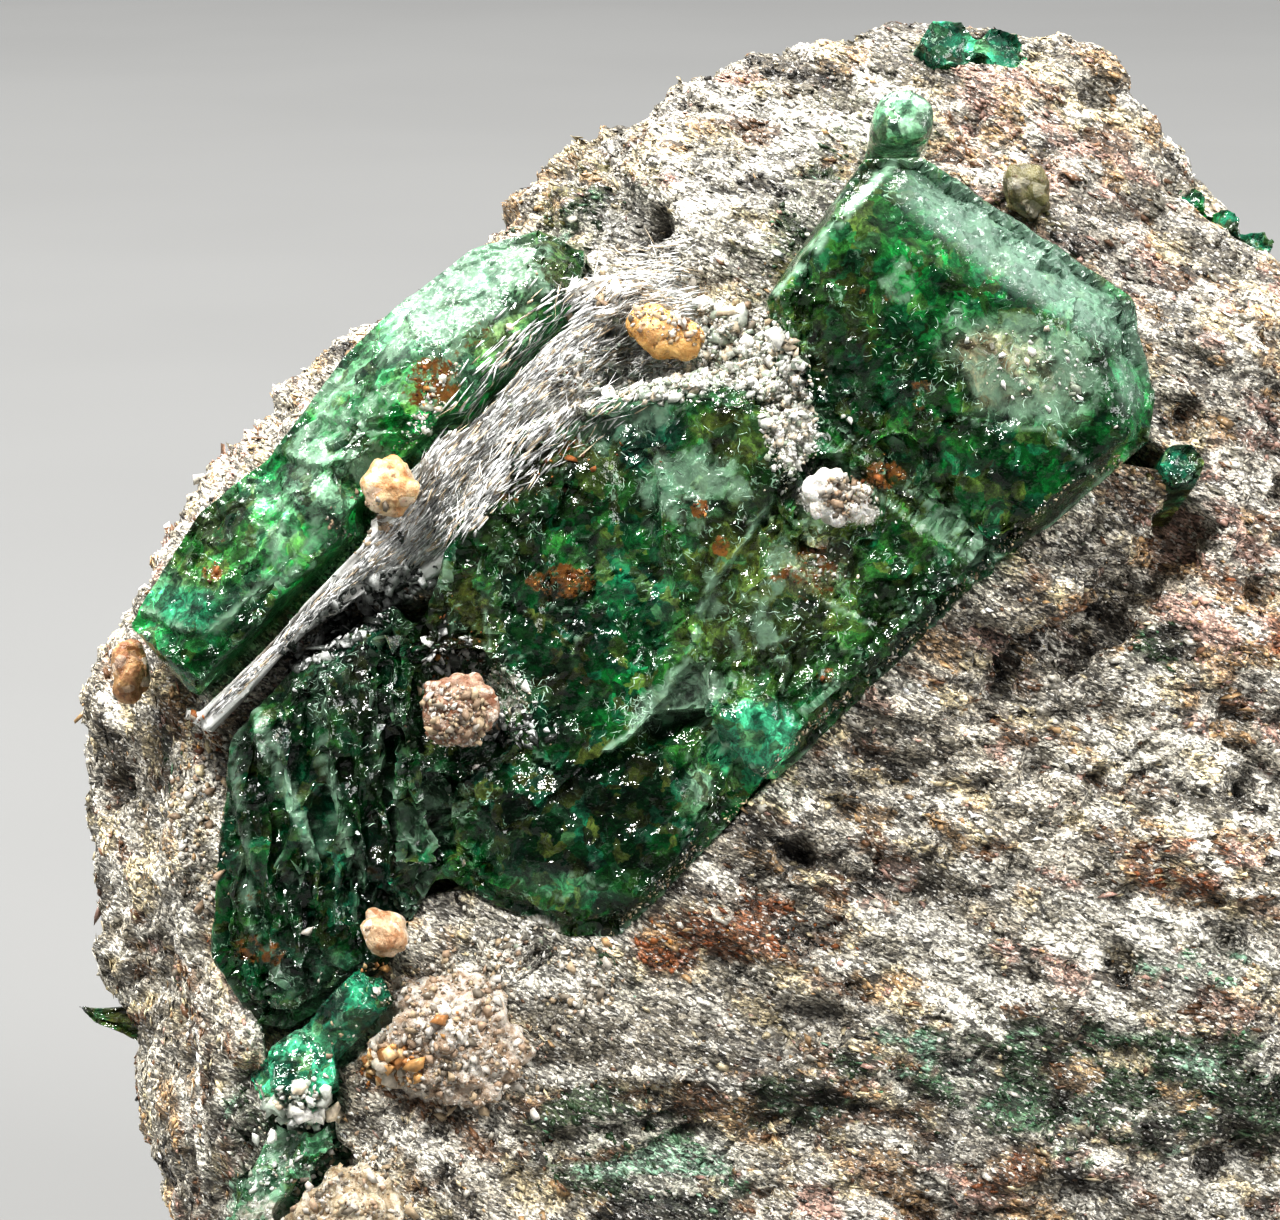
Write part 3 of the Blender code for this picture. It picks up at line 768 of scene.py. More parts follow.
class Graph:
    """A material's node tree, built from short calls."""

    def __init__(self, name: str) -> None:
        """Start an empty tree.

        Args:
            name: The material's name.
        """
        self.material = bpy.data.materials.new(name)
        self.material.use_nodes = True
        self.tree = self.material.node_tree
        self.tree.nodes.clear()
        place = self.node("ShaderNodeTexCoord", {}).outputs["Object"]
        scaled = self.node("ShaderNodeVectorMath", {0: place, "Scale": 1 / MM}, operation="SCALE")
        self.place = scaled.outputs[0]

    def node(self, kind: str, inputs: dict, **settings: object) -> bpy.types.Node:
        """Add a node.

        Args:
            kind: The node's type.
            inputs: A value or an output socket for each input.
            settings: The node's own settings.

        Returns:
            The node.
        """
        made = self.tree.nodes.new(kind)
        for key, value in settings.items():
            setattr(made, key, value)
        for key, value in inputs.items():
            if isinstance(value, bpy.types.NodeSocket):
                self.tree.links.new(value, made.inputs[key])
            elif isinstance(value, tuple) and len(value) == 3 and made.inputs[key].type == "RGBA":
                made.inputs[key].default_value = (*value, 1.0)
            else:
                made.inputs[key].default_value = value
        return made

    def value(self, name: str) -> bpy.types.NodeSocket:
        """Read a number kept at the mesh's points."""
        return self.node("ShaderNodeAttribute", {}, attribute_name=name).outputs["Fac"]

    def colour(self, name: str) -> bpy.types.NodeSocket:
        """Read a colour kept at the mesh's points."""
        return self.node("ShaderNodeAttribute", {}, attribute_name=name).outputs["Color"]

    def stretched(self, scale: tuple, turn: tuple = (0.0, 0.0, 0.0)) -> bpy.types.NodeSocket:
        """Give the place, turned and then scaled along each axis.

        Args:
            scale: How much finer the pattern is along x, y and z.
            turn: Degrees about x, y and z.

        Returns:
            The vector.
        """
        turned = tuple(math.radians(t) for t in turn)
        aim = self.node("ShaderNodeMapping", {"Vector": self.place, "Rotation": turned})
        made = self.node("ShaderNodeVectorMath", {0: aim.outputs[0], 1: scale}, operation="MULTIPLY")
        return made.outputs[0]

    def noise(
        self,
        scale: float,
        detail: float = 4.0,
        distortion: float = 0.0,
        rough: float = 0.55,
        place: bpy.types.NodeSocket | None = None,
    ) -> bpy.types.NodeSocket:
        """Add a noise field.

        Args:
            scale: Features per millimetre.
            detail: How many finer sizes.
            distortion: How much it swirls.
            rough: How strong the finer sizes are.
            place: The vector it reads.

        Returns:
            The field, 0 to 1.
        """
        made = self.node(
            "ShaderNodeTexNoise",
            {
                "Vector": place or self.place,
                "Scale": scale,
                "Detail": detail,
                "Distortion": distortion,
                "Roughness": rough,
            },
        )
        return made.outputs["Fac"]

    def cells(
        self, scale: float, feature: str = "F1", place: bpy.types.NodeSocket | None = None
    ) -> bpy.types.Node:
        """Add a field of cells.

        Args:
            scale: Cells per millimetre.
            feature: F1 or DISTANCE_TO_EDGE.
            place: The vector it reads.

        Returns:
            The node.
        """
        return self.node(
            "ShaderNodeTexVoronoi", {"Vector": place or self.place, "Scale": scale}, feature=feature
        )

    def ease(
        self, value: bpy.types.NodeSocket, low: float, high: float, start: float = 0.0, end: float = 1.0
    ) -> bpy.types.NodeSocket:
        """Ease a value between two others.

        Args:
            value: The value.
            low: Where the ease starts.
            high: Where it ends.
            start: What it gives at low.
            end: What it gives at high.

        Returns:
            The eased value.
        """
        return self.node(
            "ShaderNodeMapRange",
            {"Value": value, "From Min": low, "From Max": high, "To Min": start, "To Max": end},
            interpolation_type="SMOOTHSTEP",
        ).outputs["Result"]

    def mix(self, share: object, first: object, second: object, blend: str = "MIX") -> bpy.types.NodeSocket:
        """Mix two colours.

        Args:
            share: How much of the second.
            first: The first colour.
            second: The second colour.
            blend: The way they mix.

        Returns:
            The colour.
        """
        made = self.tree.nodes.new("ShaderNodeMix")
        made.data_type = "RGBA"
        made.blend_type = blend
        for index, value in ((0, share), (6, first), (7, second)):
            if isinstance(value, bpy.types.NodeSocket):
                self.tree.links.new(value, made.inputs[index])
            else:
                made.inputs[index].default_value = (*value, 1.0) if index else value
        return made.outputs[2]

    def math(self, kind: str, first: object, second: object = 0.0) -> bpy.types.NodeSocket:
        """Work out a number.

        Args:
            kind: The sum.
            first: The first number.
            second: The second number.

        Returns:
            The answer.
        """
        return self.node("ShaderNodeMath", {0: first, 1: second}, operation=kind).outputs[0]

    def bump(self, height: object, depth: float, strength: float = 1.0) -> bpy.types.NodeSocket:
        """Turn a height into a normal.

        Args:
            height: The height, 0 to 1.
            depth: Millimetres at a height of 1.
            strength: How strongly it shows.

        Returns:
            The normal.
        """
        made = self.node(
            "ShaderNodeBump", {"Height": height, "Distance": depth * MM, "Strength": strength}
        )
        return made.outputs["Normal"]

    def glitter(self, normal: bpy.types.NodeSocket, cells: bpy.types.Node, tilt: float) -> bpy.types.NodeSocket:
        """Tilt the normal a different way in each cell, so that the cells catch the light in turn.

        Args:
            normal: The normal so far.
            cells: The cells.
            tilt: How far they tilt.

        Returns:
            The normal.
        """
        middle = self.node(
            "ShaderNodeVectorMath", {0: cells.outputs["Color"], 1: (0.5, 0.5, 0.5)}, operation="SUBTRACT"
        )
        lean = self.node(
            "ShaderNodeVectorMath", {0: middle.outputs[0], "Scale": tilt}, operation="SCALE"
        )
        total = self.node("ShaderNodeVectorMath", {0: normal, 1: lean.outputs[0]}, operation="ADD")
        made = self.node("ShaderNodeVectorMath", {0: total.outputs[0]}, operation="NORMALIZE")
        return made.outputs[0]

    def finish(self, inputs: dict, absorption: tuple | None = None, density: float = 0.0) -> bpy.types.Material:
        """Close the tree with its shader.

        Args:
            inputs: The Principled shader's inputs.
            absorption: The colour that the inside lets through.
            density: How strongly it absorbs, per metre.

        Returns:
            The material.
        """
        shader = self.node("ShaderNodeBsdfPrincipled", inputs)
        output = self.node("ShaderNodeOutputMaterial", {"Surface": shader.outputs[0]})
        if absorption:
            inside = self.node("ShaderNodeVolumeAbsorption", {"Color": absorption, "Density": density})
            self.tree.links.new(inside.outputs[0], output.inputs["Volume"])
        return self.material


# ---- finishes -----------------------------------------------------------------------------


@dataclass(frozen=True)
class SchistFinish:
    """The rock's own skin: cells of mica and quartz, glossy and dull, tilted every way."""

    name: str = "mica_schist_skin"
    grain: float = 5.5
    gloss: float = 0.27

    def make(self) -> bpy.types.Material:
        """Build the material."""
        g = Graph(self.name)
        swirl = g.stretched((0.75, 1.0, 1.9), (0.0, -24.0, 0.0))
        plates = g.cells(self.grain, place=swirl)
        motes = g.cells(2.3 * self.grain, place=swirl)
        dust = g.noise(14.0, 1.0, 0.0, 0.7)
        shade = g.node("ShaderNodeSeparateColor", {0: plates.outputs["Color"]})
        mote = g.node("ShaderNodeSeparateColor", {0: motes.outputs["Color"]})
        light = g.ease(shade.outputs[0], 0.0, 1.0, 0.3, 1.6)
        light = g.math("MULTIPLY", light, g.ease(mote.outputs[0], 0.0, 1.0, 0.45, 1.6))
        light = g.math("MULTIPLY", light, g.ease(dust, 0.25, 0.75, 0.6, 1.4))
        grey = g.node("ShaderNodeCombineColor", {0: light, 1: light, 2: light}).outputs[0]
        base = g.mix(1.0, g.colour("tint"), grey, "MULTIPLY")
        base = g.mix(g.ease(mote.outputs[1], 0.86, 0.94, 0.0, 0.7), base, (0.74, 0.72, 0.67))
        base = g.mix(g.ease(mote.outputs[2], 0.84, 0.92, 0.0, 0.8), base, (0.05, 0.04, 0.03))
        normal = g.glitter(g.glitter(g.bump(dust, 0.06), plates, 0.55), motes, 0.55)
        rough = g.ease(shade.outputs[1], 0.15, 0.7, self.gloss, 0.85)
        return g.finish({"Base Color": base, "Roughness": rough, "Normal": normal, "Specular IOR Level": 0.55})


@dataclass(frozen=True)
class FlakeFinish:
    """Loose flakes and grains of the rock, each with a colour of its own."""

    name: str
    rough: float
    gloss: float
    streak: float = 9.0

    def make(self) -> bpy.types.Material:
        """Build the material."""
        g = Graph(self.name)
        film = g.noise(self.streak, 2.0, 0.0, 0.65)
        light = g.ease(film, 0.25, 0.75, 0.68, 1.3)
        grey = g.node("ShaderNodeCombineColor", {0: light, 1: light, 2: light}).outputs[0]
        base = g.mix(1.0, g.colour("tint"), grey, "MULTIPLY")
        rough = g.ease(film, 0.3, 0.7, self.rough * 0.7, min(1.0, self.rough * 1.4))
        return g.finish(
            {
                "Base Color": base,
                "Roughness": rough,
                "Specular IOR Level": self.gloss,
            }
        )


@dataclass(frozen=True)
class BerylFinish:
    """Emerald: see-through green, cloudy with veils, crazed with fine cracks; its pale crack lines and edges are partly
    painted highlight.
    """

    name: str
    through: float = 0.5
    clear: tuple[float, float, float] = (0.12, 0.82, 0.36)
    density: float = 480.0
    veil: float = 0.6
    crack: float = 0.8
    tilt: float = 0.14
    gloss: float = 0.17

    def make(self) -> bpy.types.Material:
        """Build the material."""
        g = Graph(self.name)
        wander = g.node(
            "ShaderNodeVectorMath",
            {0: g.place, 1: g.node("ShaderNodeTexNoise", {"Vector": g.place, "Scale": 1.7, "Detail": 3.0}).outputs["Color"]},
            operation="ADD",
        ).outputs[0]
        broad = g.noise(0.8, 2.0, 0.0, 0.6, wander)
        fine = g.noise(3.2, 3.0, 0.0, 0.7, wander)
        shards = g.cells(2.6, place=wander)
        chips = g.cells(6.5, place=wander)
        shard = g.node("ShaderNodeSeparateColor", {0: shards.outputs["Color"]})
        chip = g.node("ShaderNodeSeparateColor", {0: chips.outputs["Color"]})
        body = g.mix(g.ease(broad, 0.4, 0.6), g.colour("body"), g.colour("body2"))
        body = g.mix(g.ease(shard.outputs[1], 0.62, 0.9, 0.0, 0.5), body, BerylTint.OLIVE.value)
        body = g.mix(g.ease(shard.outputs[2], 0.66, 0.9, 0.0, 0.45), body, BerylTint.TEAL.value)
        light = g.math("MULTIPLY", g.ease(fine, 0.3, 0.7, 0.35, 1.7), g.ease(shard.outputs[0], 0.0, 1.0, 0.5, 1.5))
        light = g.math("MULTIPLY", light, g.ease(chip.outputs[0], 0.0, 1.0, 0.72, 1.26))
        light = g.math("MULTIPLY", light, g.value("facet"))
        grey = g.node("ShaderNodeCombineColor", {0: light, 1: light, 2: light}).outputs[0]
        body = g.mix(1.0, body, grey, "MULTIPLY")
        cloud = g.noise(1.1, 3.0, 0.0, 0.68, wander)
        pale = g.math("ADD", g.math("MULTIPLY", g.value("pale"), 0.26), cloud)
        veil = g.math("MULTIPLY", g.ease(pale, 0.66, 0.84), self.veil)
        colour = g.mix(veil, body, BerylTint.PALE.value)
        # Pale crack lines and pale crest edges: partly real cracks and worn edges, partly painted highlight where they
        # catch the light.
        crack = g.cells(1.1, "DISTANCE_TO_EDGE", wander).outputs["Distance"]
        craze = g.math("ABSOLUTE", g.math("SUBTRACT", g.noise(3.4, 1.0, 0.0, 0.5, wander), 0.5))
        broken = g.ease(g.noise(1.1, 3.0, 0.0, 0.7), 0.53, 0.6)
        line = g.math("MULTIPLY", g.ease(crack, 0.03, 0.008), broken)
        hair = g.math("MULTIPLY", g.ease(craze, 0.018, 0.005), g.ease(g.noise(2.1, 1.0), 0.56, 0.64))
        curl = g.math("ABSOLUTE", g.math("SUBTRACT", g.noise(2.0, 2.0, 1.0, 0.5, wander), 0.5))
        curl = g.math("MULTIPLY", g.ease(curl, 0.014, 0.004), broken)
        lines = g.math("MAXIMUM", g.math("MAXIMUM", line, hair), curl)
        lines = g.math("MULTIPLY", lines, g.ease(g.noise(5.5, 2.0), 0.42, 0.56))
        lines = g.math("MULTIPLY", lines, g.value("crazed"))
        edge = g.math("MAXIMUM", g.math("MULTIPLY", lines, self.crack), g.value("crest"))
        colour = g.mix(edge, colour, (0.50, 0.78, 0.56))
        stain = g.math("ADD", g.math("MULTIPLY", g.value("rust"), 0.44), g.noise(2.6, 3.0, 0.0, 0.7))
        stained = g.ease(stain, 0.84, 0.98)
        ochre = g.mix(g.noise(5.0, 1.0), (0.09, 0.03, 0.008), (0.42, 0.19, 0.05))
        colour = g.mix(stained, colour, ochre)
        frost = g.value("frost")
        colour = g.mix(g.math("MULTIPLY", frost, 0.75), colour, (0.30, 0.46, 0.36))
        snow = g.math("ADD", g.math("MULTIPLY", g.value("snow"), 0.6), g.math("MULTIPLY", fine, 0.8))
        snow = g.ease(snow, 0.74, 0.92)
        colour = g.mix(snow, colour, g.mix(chip.outputs[1], (0.86, 0.84, 0.78), (0.46, 0.42, 0.34)))
        frost = g.math("MAXIMUM", frost, snow)
        grains = g.cells(9.0)
        rough = g.math("ADD", g.math("MULTIPLY", veil, 0.25), g.math("MULTIPLY", frost, 0.22))
        rough = g.math("ADD", rough, g.ease(fine, 0.3, 0.8, 0.04, 0.16))
        normal = g.bump(g.noise(4.0, 2.0, 0.0, 0.7), 0.045)
        normal = g.glitter(g.glitter(normal, shards, self.tilt), chips, self.tilt)
        tilted = g.glitter(normal, grains, 0.9)
        spread = g.math("ADD", g.math("MULTIPLY", frost, 0.85), 0.05)
        mixed = g.node("ShaderNodeMix", {0: spread, 4: normal, 5: tilted}, data_type="VECTOR")
        return g.finish(
            {
                "Base Color": colour,
                "Roughness": rough,
                "Normal": mixed.outputs[1],
                "IOR": 1.577,
                "Specular IOR Level": self.gloss,
                "Transmission Weight": self.through,
            },
            self.clear,
            self.density,
        )


@dataclass(frozen=True)
class SilkyFinish:
    """The silky band: bright mica seen edge on, in fine sheets."""

    name: str = "silky_mica_sheets"

    def make(self) -> bpy.types.Material:
        """Build the material."""
        g = Graph(self.name)
        sheet = g.value("sheet")
        fine = g.noise(7.0, 5.0, 0.5, 0.7)
        tone = g.math("ADD", g.math("MULTIPLY", sheet, 0.75), g.math("MULTIPLY", fine, 0.35))
        ramp = g.ease(tone, 0.2, 0.75)
        base = g.mix(ramp, (0.16, 0.15, 0.13), (0.83, 0.83, 0.80))
        warm = g.ease(g.noise(0.7, 3.0), 0.55, 0.7, 0.0, 0.4)
        base = g.mix(warm, base, (0.52, 0.40, 0.26))
        normal = g.bump(tone, 0.08)
        return g.finish({"Base Color": base, "Roughness": 0.34, "Normal": normal, "Specular IOR Level": 0.6})


@dataclass(frozen=True)
class FeldsparFinish:
    """Grains of other minerals: waxy, uneven, a little light going in."""

    name: str
    light: tuple[float, float, float]
    dark: tuple[float, float, float]
    grain: float = 4.0
    rough: float = 0.42
    speck: float = 0.5
    glow: float = 0.15

    def make(self) -> bpy.types.Material:
        """Build the material."""
        g = Graph(self.name)
        cloud = g.noise(1.6, 7.0, 0.8, 0.62)
        base = g.mix(g.ease(cloud, 0.36, 0.64), self.dark, self.light)
        lumps = g.cells(self.grain)
        shade = g.node("ShaderNodeSeparateColor", {0: lumps.outputs["Color"]})
        white = g.ease(shade.outputs[0], 0.7, 0.92, 0.0, self.speck)
        base = g.mix(white, base, (0.78, 0.74, 0.66))
        pits = g.ease(g.noise(6.0, 4.0), 0.42, 0.3, 0.0, 0.7)
        base = g.mix(pits, base, (0.14, 0.07, 0.03))
        relief = g.math("ADD", g.math("MULTIPLY", lumps.outputs["Distance"], -0.6), g.noise(9.0, 5.0))
        normal = g.glitter(g.bump(relief, 0.08), lumps, 0.35)
        rough = g.ease(shade.outputs[1], 0.1, 0.8, self.rough * 0.6, self.rough * 1.6)
        return g.finish(
            {
                "Base Color": base,
                "Roughness": rough,
                "Normal": normal,
                "Subsurface Weight": self.glow,
                "Subsurface Radius": (0.5 * MM, 0.35 * MM, 0.2 * MM),
                "Subsurface Scale": 1.0,
            }
        )


@dataclass(frozen=True)
class PaperFinish:
    """The floor's plain pale sheet."""

    name: str = "pale_paper"
    tone: float = 0.185

    def make(self) -> bpy.types.Material:
        """Build the material."""
        g = Graph(self.name)
        fibre = g.noise(0.02, 2.0)
        pale = tuple(self.tone * c for c in (0.995, 1.0, 0.99))
        base = g.mix(g.ease(fibre, 0.3, 0.7), pale, tuple(c * 0.97 for c in pale))
        return g.finish({"Base Color": base, "Roughness": 0.9, "Specular IOR Level": 0.1})


# ---- the rock -----------------------------------------------------------------------------


@dataclass(frozen=True)
class Zone:
    """A part of the rock with its own mix of minerals, by patch on the face and by chance."""

    shares: dict[Mineral, float]
    patches: tuple[Patch, ...] = ()
    chance: float = 0.0
    seed: int = 0

    def hold(self, points: Array, wobble: Array) -> Array:
        """Say how strongly the zone holds at each point.

        Args:
            points: Rows of u, v, w.
            wobble: Added to the patches' distances.

        Returns:
            One weight per row.
        """
        weight = strongest(self.patches, points, wobble) * smooth(-12.0, -8.0, points[:, 2])
        if self.chance:
            field_ = fractal(points, 4.5, 4, self.seed, 0.6)
            weight = np.maximum(weight, smooth(1.0 - self.chance, 1.2 - self.chance, field_ * 1.6))
        return weight


PLAIN_SHARES = {
    Mineral.SILVER: 0.24, Mineral.GREY: 0.18, Mineral.SNOW: 0.16, Mineral.CREAM: 0.12,
    Mineral.TAN: 0.10, Mineral.BROWN: 0.08, Mineral.PINK: 0.06, Mineral.SOOT: 0.06,
}
ZONES = (
    Zone(
        {Mineral.SNOW: 0.5, Mineral.SILVER: 0.3, Mineral.CREAM: 0.1, Mineral.GREY: 0.1},
        (
            Patch(1.9, 10.6, 4.0, 2.2, 0, 0.75), Patch(-11.6, -6.0, 1.1, 2.6), Patch(4.6, 12.6, 3.0, 1.0, 0, 0.6),
            Patch(0.6, 7.4, 3.6, 1.4),
            Patch(6.4, -8.4, 3.2, 0.9, -8), Patch(13.6, -15.0, 3.4, 0.9, 18), Patch(-7.6, -15.4, 1.9, 2.4),
            Patch(-3.4, -9.0, 1.6, 1.2), Patch(9.4, 11.6, 0.9, 0.8), Patch(8.6, -9.9, 2.2, 0.7, -24),
            Patch(13.4, -4.4, 2.6, 1.6, -20, 0.8), Patch(12.8, -8.4, 3.6, 0.9, -18), Patch(15.4, 4.6, 1.2, 2.4, 0, 0.7),
        ),
        0.36,
        101,
    ),
    Zone(
        {Mineral.PINK: 0.38, Mineral.BROWN: 0.12, Mineral.SILVER: 0.2, Mineral.TAN: 0.15, Mineral.SNOW: 0.15},
        (Patch(10.6, 10.4, 2.4, 3.6, 32), Patch(15.0, 2.0, 1.8, 5.0), Patch(6.0, -15.0, 3.4, 1.0, 6)),
        0.3,
        111,
    ),
    Zone(
        {Mineral.RUST: 0.42, Mineral.BROWN: 0.26, Mineral.TAN: 0.16, Mineral.CREAM: 0.08, Mineral.PINK: 0.08},
        (
            Patch(3.3, -8.0, 2.2, 0.8, -8), Patch(14.2, -6.6, 2.0, 0.6, -6), Patch(-12.0, -2.6, 0.5, 1.1),
            Patch(-11.2, -3.4, 0.5, 0.5), Patch(0.6, -8.6, 0.8, 0.9), Patch(16.0, 0.0, 1.2, 1.4),
            Patch(9.0, -14.0, 1.6, 0.5, 10), Patch(-10.4, -8.2, 0.7, 0.7),
        ),
        0.16,
        121,
    ),
    Zone(
        {Mineral.MOSS: 0.6, Mineral.LEAF: 0.15, Mineral.SOOT: 0.12, Mineral.MINT: 0.07, Mineral.SILVER: 0.06},
        (
            Patch(11.6, -11.9, 6.2, 1.6, -6), Patch(-0.4, -13.6, 2.4, 1.6, -30), Patch(3.6, -12.4, 1.8, 0.8),
            Patch(13.2, -1.0, 0.9, 0.6, 24), Patch(-9.6, -12.8, 1.3, 1.1), Patch(-12.2, -3.4, 0.5, 1.4),
            Patch(-1.2, 10.4, 1.2, 0.9, 40), Patch(4.3, 10.2, 0.9, 2.0, -22),
        ),
        0.12,
        131,
    ),
    Zone(
        {Mineral.OLIVE: 0.5, Mineral.TAN: 0.3, Mineral.MOSS: 0.2},
        (Patch(4.5, 9.9, 0.7, 2.2, -20), Patch(-2.0, 10.6, 1.7, 0.8, 40, 0.7), Patch(13.6, 3.6, 0.7, 1.4, 0, 0.6)),
        0.0,
        136,
    ),
    Zone(
        {Mineral.MINT: 0.42, Mineral.SILVER: 0.22, Mineral.SNOW: 0.2, Mineral.LEAF: 0.16},
        (
            Patch(1.4, -14.3, 1.7, 1.1, -24), Patch(7.4, -11.2, 1.4, 0.5, -20), Patch(-2.6, 9.4, 1.4, 0.9, 40),
            Patch(14.6, -9.0, 1.6, 0.5), Patch(-9.6, -16.0, 1.1, 2.0),
        ),
        0.1,
        141,
    ),
    Zone(
        {Mineral.TAN: 0.34, Mineral.CREAM: 0.34, Mineral.SNOW: 0.16, Mineral.BROWN: 0.16},
        (
            Patch(-12.4, -4.0, 0.8, 3.2), Patch(14.4, 3.4, 1.6, 1.6), Patch(6.6, -9.6, 1.2, 0.6),
            Patch(-2.6, 12.0, 2.4, 0.9, 42), Patch(7.6, -16.0, 3.0, 0.6, 12),
        ),
        0.26,
        151,
    ),
    # Dark zone: painted shadow in the recess under the main crystal's lower right edge and painted shade towards the
    # bottom of the face, among dark grains.
    Zone(
        {Mineral.SOOT: 0.34, Mineral.BROWN: 0.36, Mineral.GREY: 0.2, Mineral.OLIVE: 0.1},
        (
            Patch(9.8, -1.0, 1.8, 0.4, 42, 0.6), Patch(10.6, 10.6, 1.5, 2.6, 32, 0.5), Patch(-8.6, -12.6, 0.9, 1.4), Patch(4.0, -12.6, 4.4, 0.9, -8, 0.8),
            Patch(3.0, -16.0, 4.0, 1.2, -8, 0.7),
            Patch(9.9, -10.0, 0.8, 0.25), Patch(-2.4, -13.0, 1.0, 0.8),
        ),
        0.1,
        161,
    ),
)


class Minerals:
    """Says which mineral lies where on the rock."""

    def __init__(self, points: Array) -> None:
        """Weigh the zones at each point.

        Args:
            points: Rows of u, v, w.
        """
        wobble = 0.45 * fractal(points, 1.4, 4, 71)
        holds = np.stack([zone.hold(points, wobble) for zone in ZONES], axis=1)
        plain = 0.25 + 0.75 * (1.0 - holds.max(axis=1, initial=0.0))
        weights = np.hstack([plain[:, None], holds])
        kinds = list(Mineral)
        recipes = [PLAIN_SHARES] + [zone.shares for zone in ZONES]
        table = np.array([[recipe.get(kind, 0.0) for kind in kinds] for recipe in recipes])
        self.odds = weights @ table
        self.odds /= self.odds.sum(axis=1, keepdims=True)
        self.colours = np.array([kind.value for kind in kinds])
        self.clump = Cells(streaks(points, 1.3, 0.5) + 0.35 * wobble[:, None], 61).chance()
        band = fractal(streaks(points, 5.0, 0.9), 1.0, 3, 95)
        u, v, _ = points.T
        self.band = (0.73 + 0.46 * smooth(-0.5, 0.5, band))[:, None]
        # Tone bands along the sheets, darkened towards the bottom middle as painted shade, darker towards the top and
        # lighter at the far left.
        low = smooth(-8.5, -12.0, v) * smooth(-7.0, -3.0, u)
        self.band *= (1.0 - 0.26 * low - 0.2 * smooth(7.5, 11.0, v) + 0.14 * smooth(-9.0, -12.0, u))[:, None]

    def pick(self, chance: Array) -> Array:
        """Pick one mineral's colour at each point, with the tone bands and painted shade laid over it.

        Args:
            chance: One number per point, 0 to 1.

        Returns:
            Rows of colour.
        """
        index = (np.cumsum(self.odds, axis=1) < chance[:, None]).sum(axis=1)
        return self.colours[np.minimum(index, len(self.colours) - 1)] * self.band

    def mean(self) -> Array:
        """Give the average colour at each point."""
        return self.odds @ self.colours * self.band


def streaks(points: Array, along: float, across: float) -> Array:
    """Measure places along and across the schist's sheets.

    Args:
        points: Rows of u, v, w.
        along: The unit of length along the sheets, in millimetres.
        across: The unit through them.

    Returns:
        Rows of three.
    """
    u, v, w = points.T
    steep = np.radians(26.0 + 24.0 * smooth(2.0, -4.0, u) * smooth(-7.0, -12.0, v))
    steep = steep + np.radians(44.0) * smooth(-9.5, -12.5, u)
    run = u * np.cos(steep) - v * np.sin(steep)
    rise = u * np.sin(steep) + v * np.cos(steep) + 0.3 * fractal(points, 2.2, 3, 91)
    return np.stack([run / along, rise / across, (w + 0.3 * rise) / along], axis=1)


def bedding(points: Array) -> Array:
    """Give the normal of the schist's sheets, which swing round the crystals.

    Args:
        points: Rows of u, v, w.

    Returns:
        Rows of unit normals.
    """
    u, v = points[:, 0], points[:, 1]
    steep = 22.0 + 30.0 * smooth(4.0, -3.0, u) * smooth(-6.0, -12.0, v)
    steep += 46.0 * smooth(-9.5, -12.5, u) + 10.0 * smooth(2.0, 9.0, v)
    steep -= 14.0 * smooth(9.0, 14.0, u) * smooth(4.0, -4.0, v)
    steep = np.radians(steep + 16.0 * fractal(points, 5.0, 3, 81))
    tip = 0.25 + 0.3 * fractal(points, 7.0, 2, 83)
    return unit(np.stack([np.sin(steep), np.cos(steep), tip], axis=1))


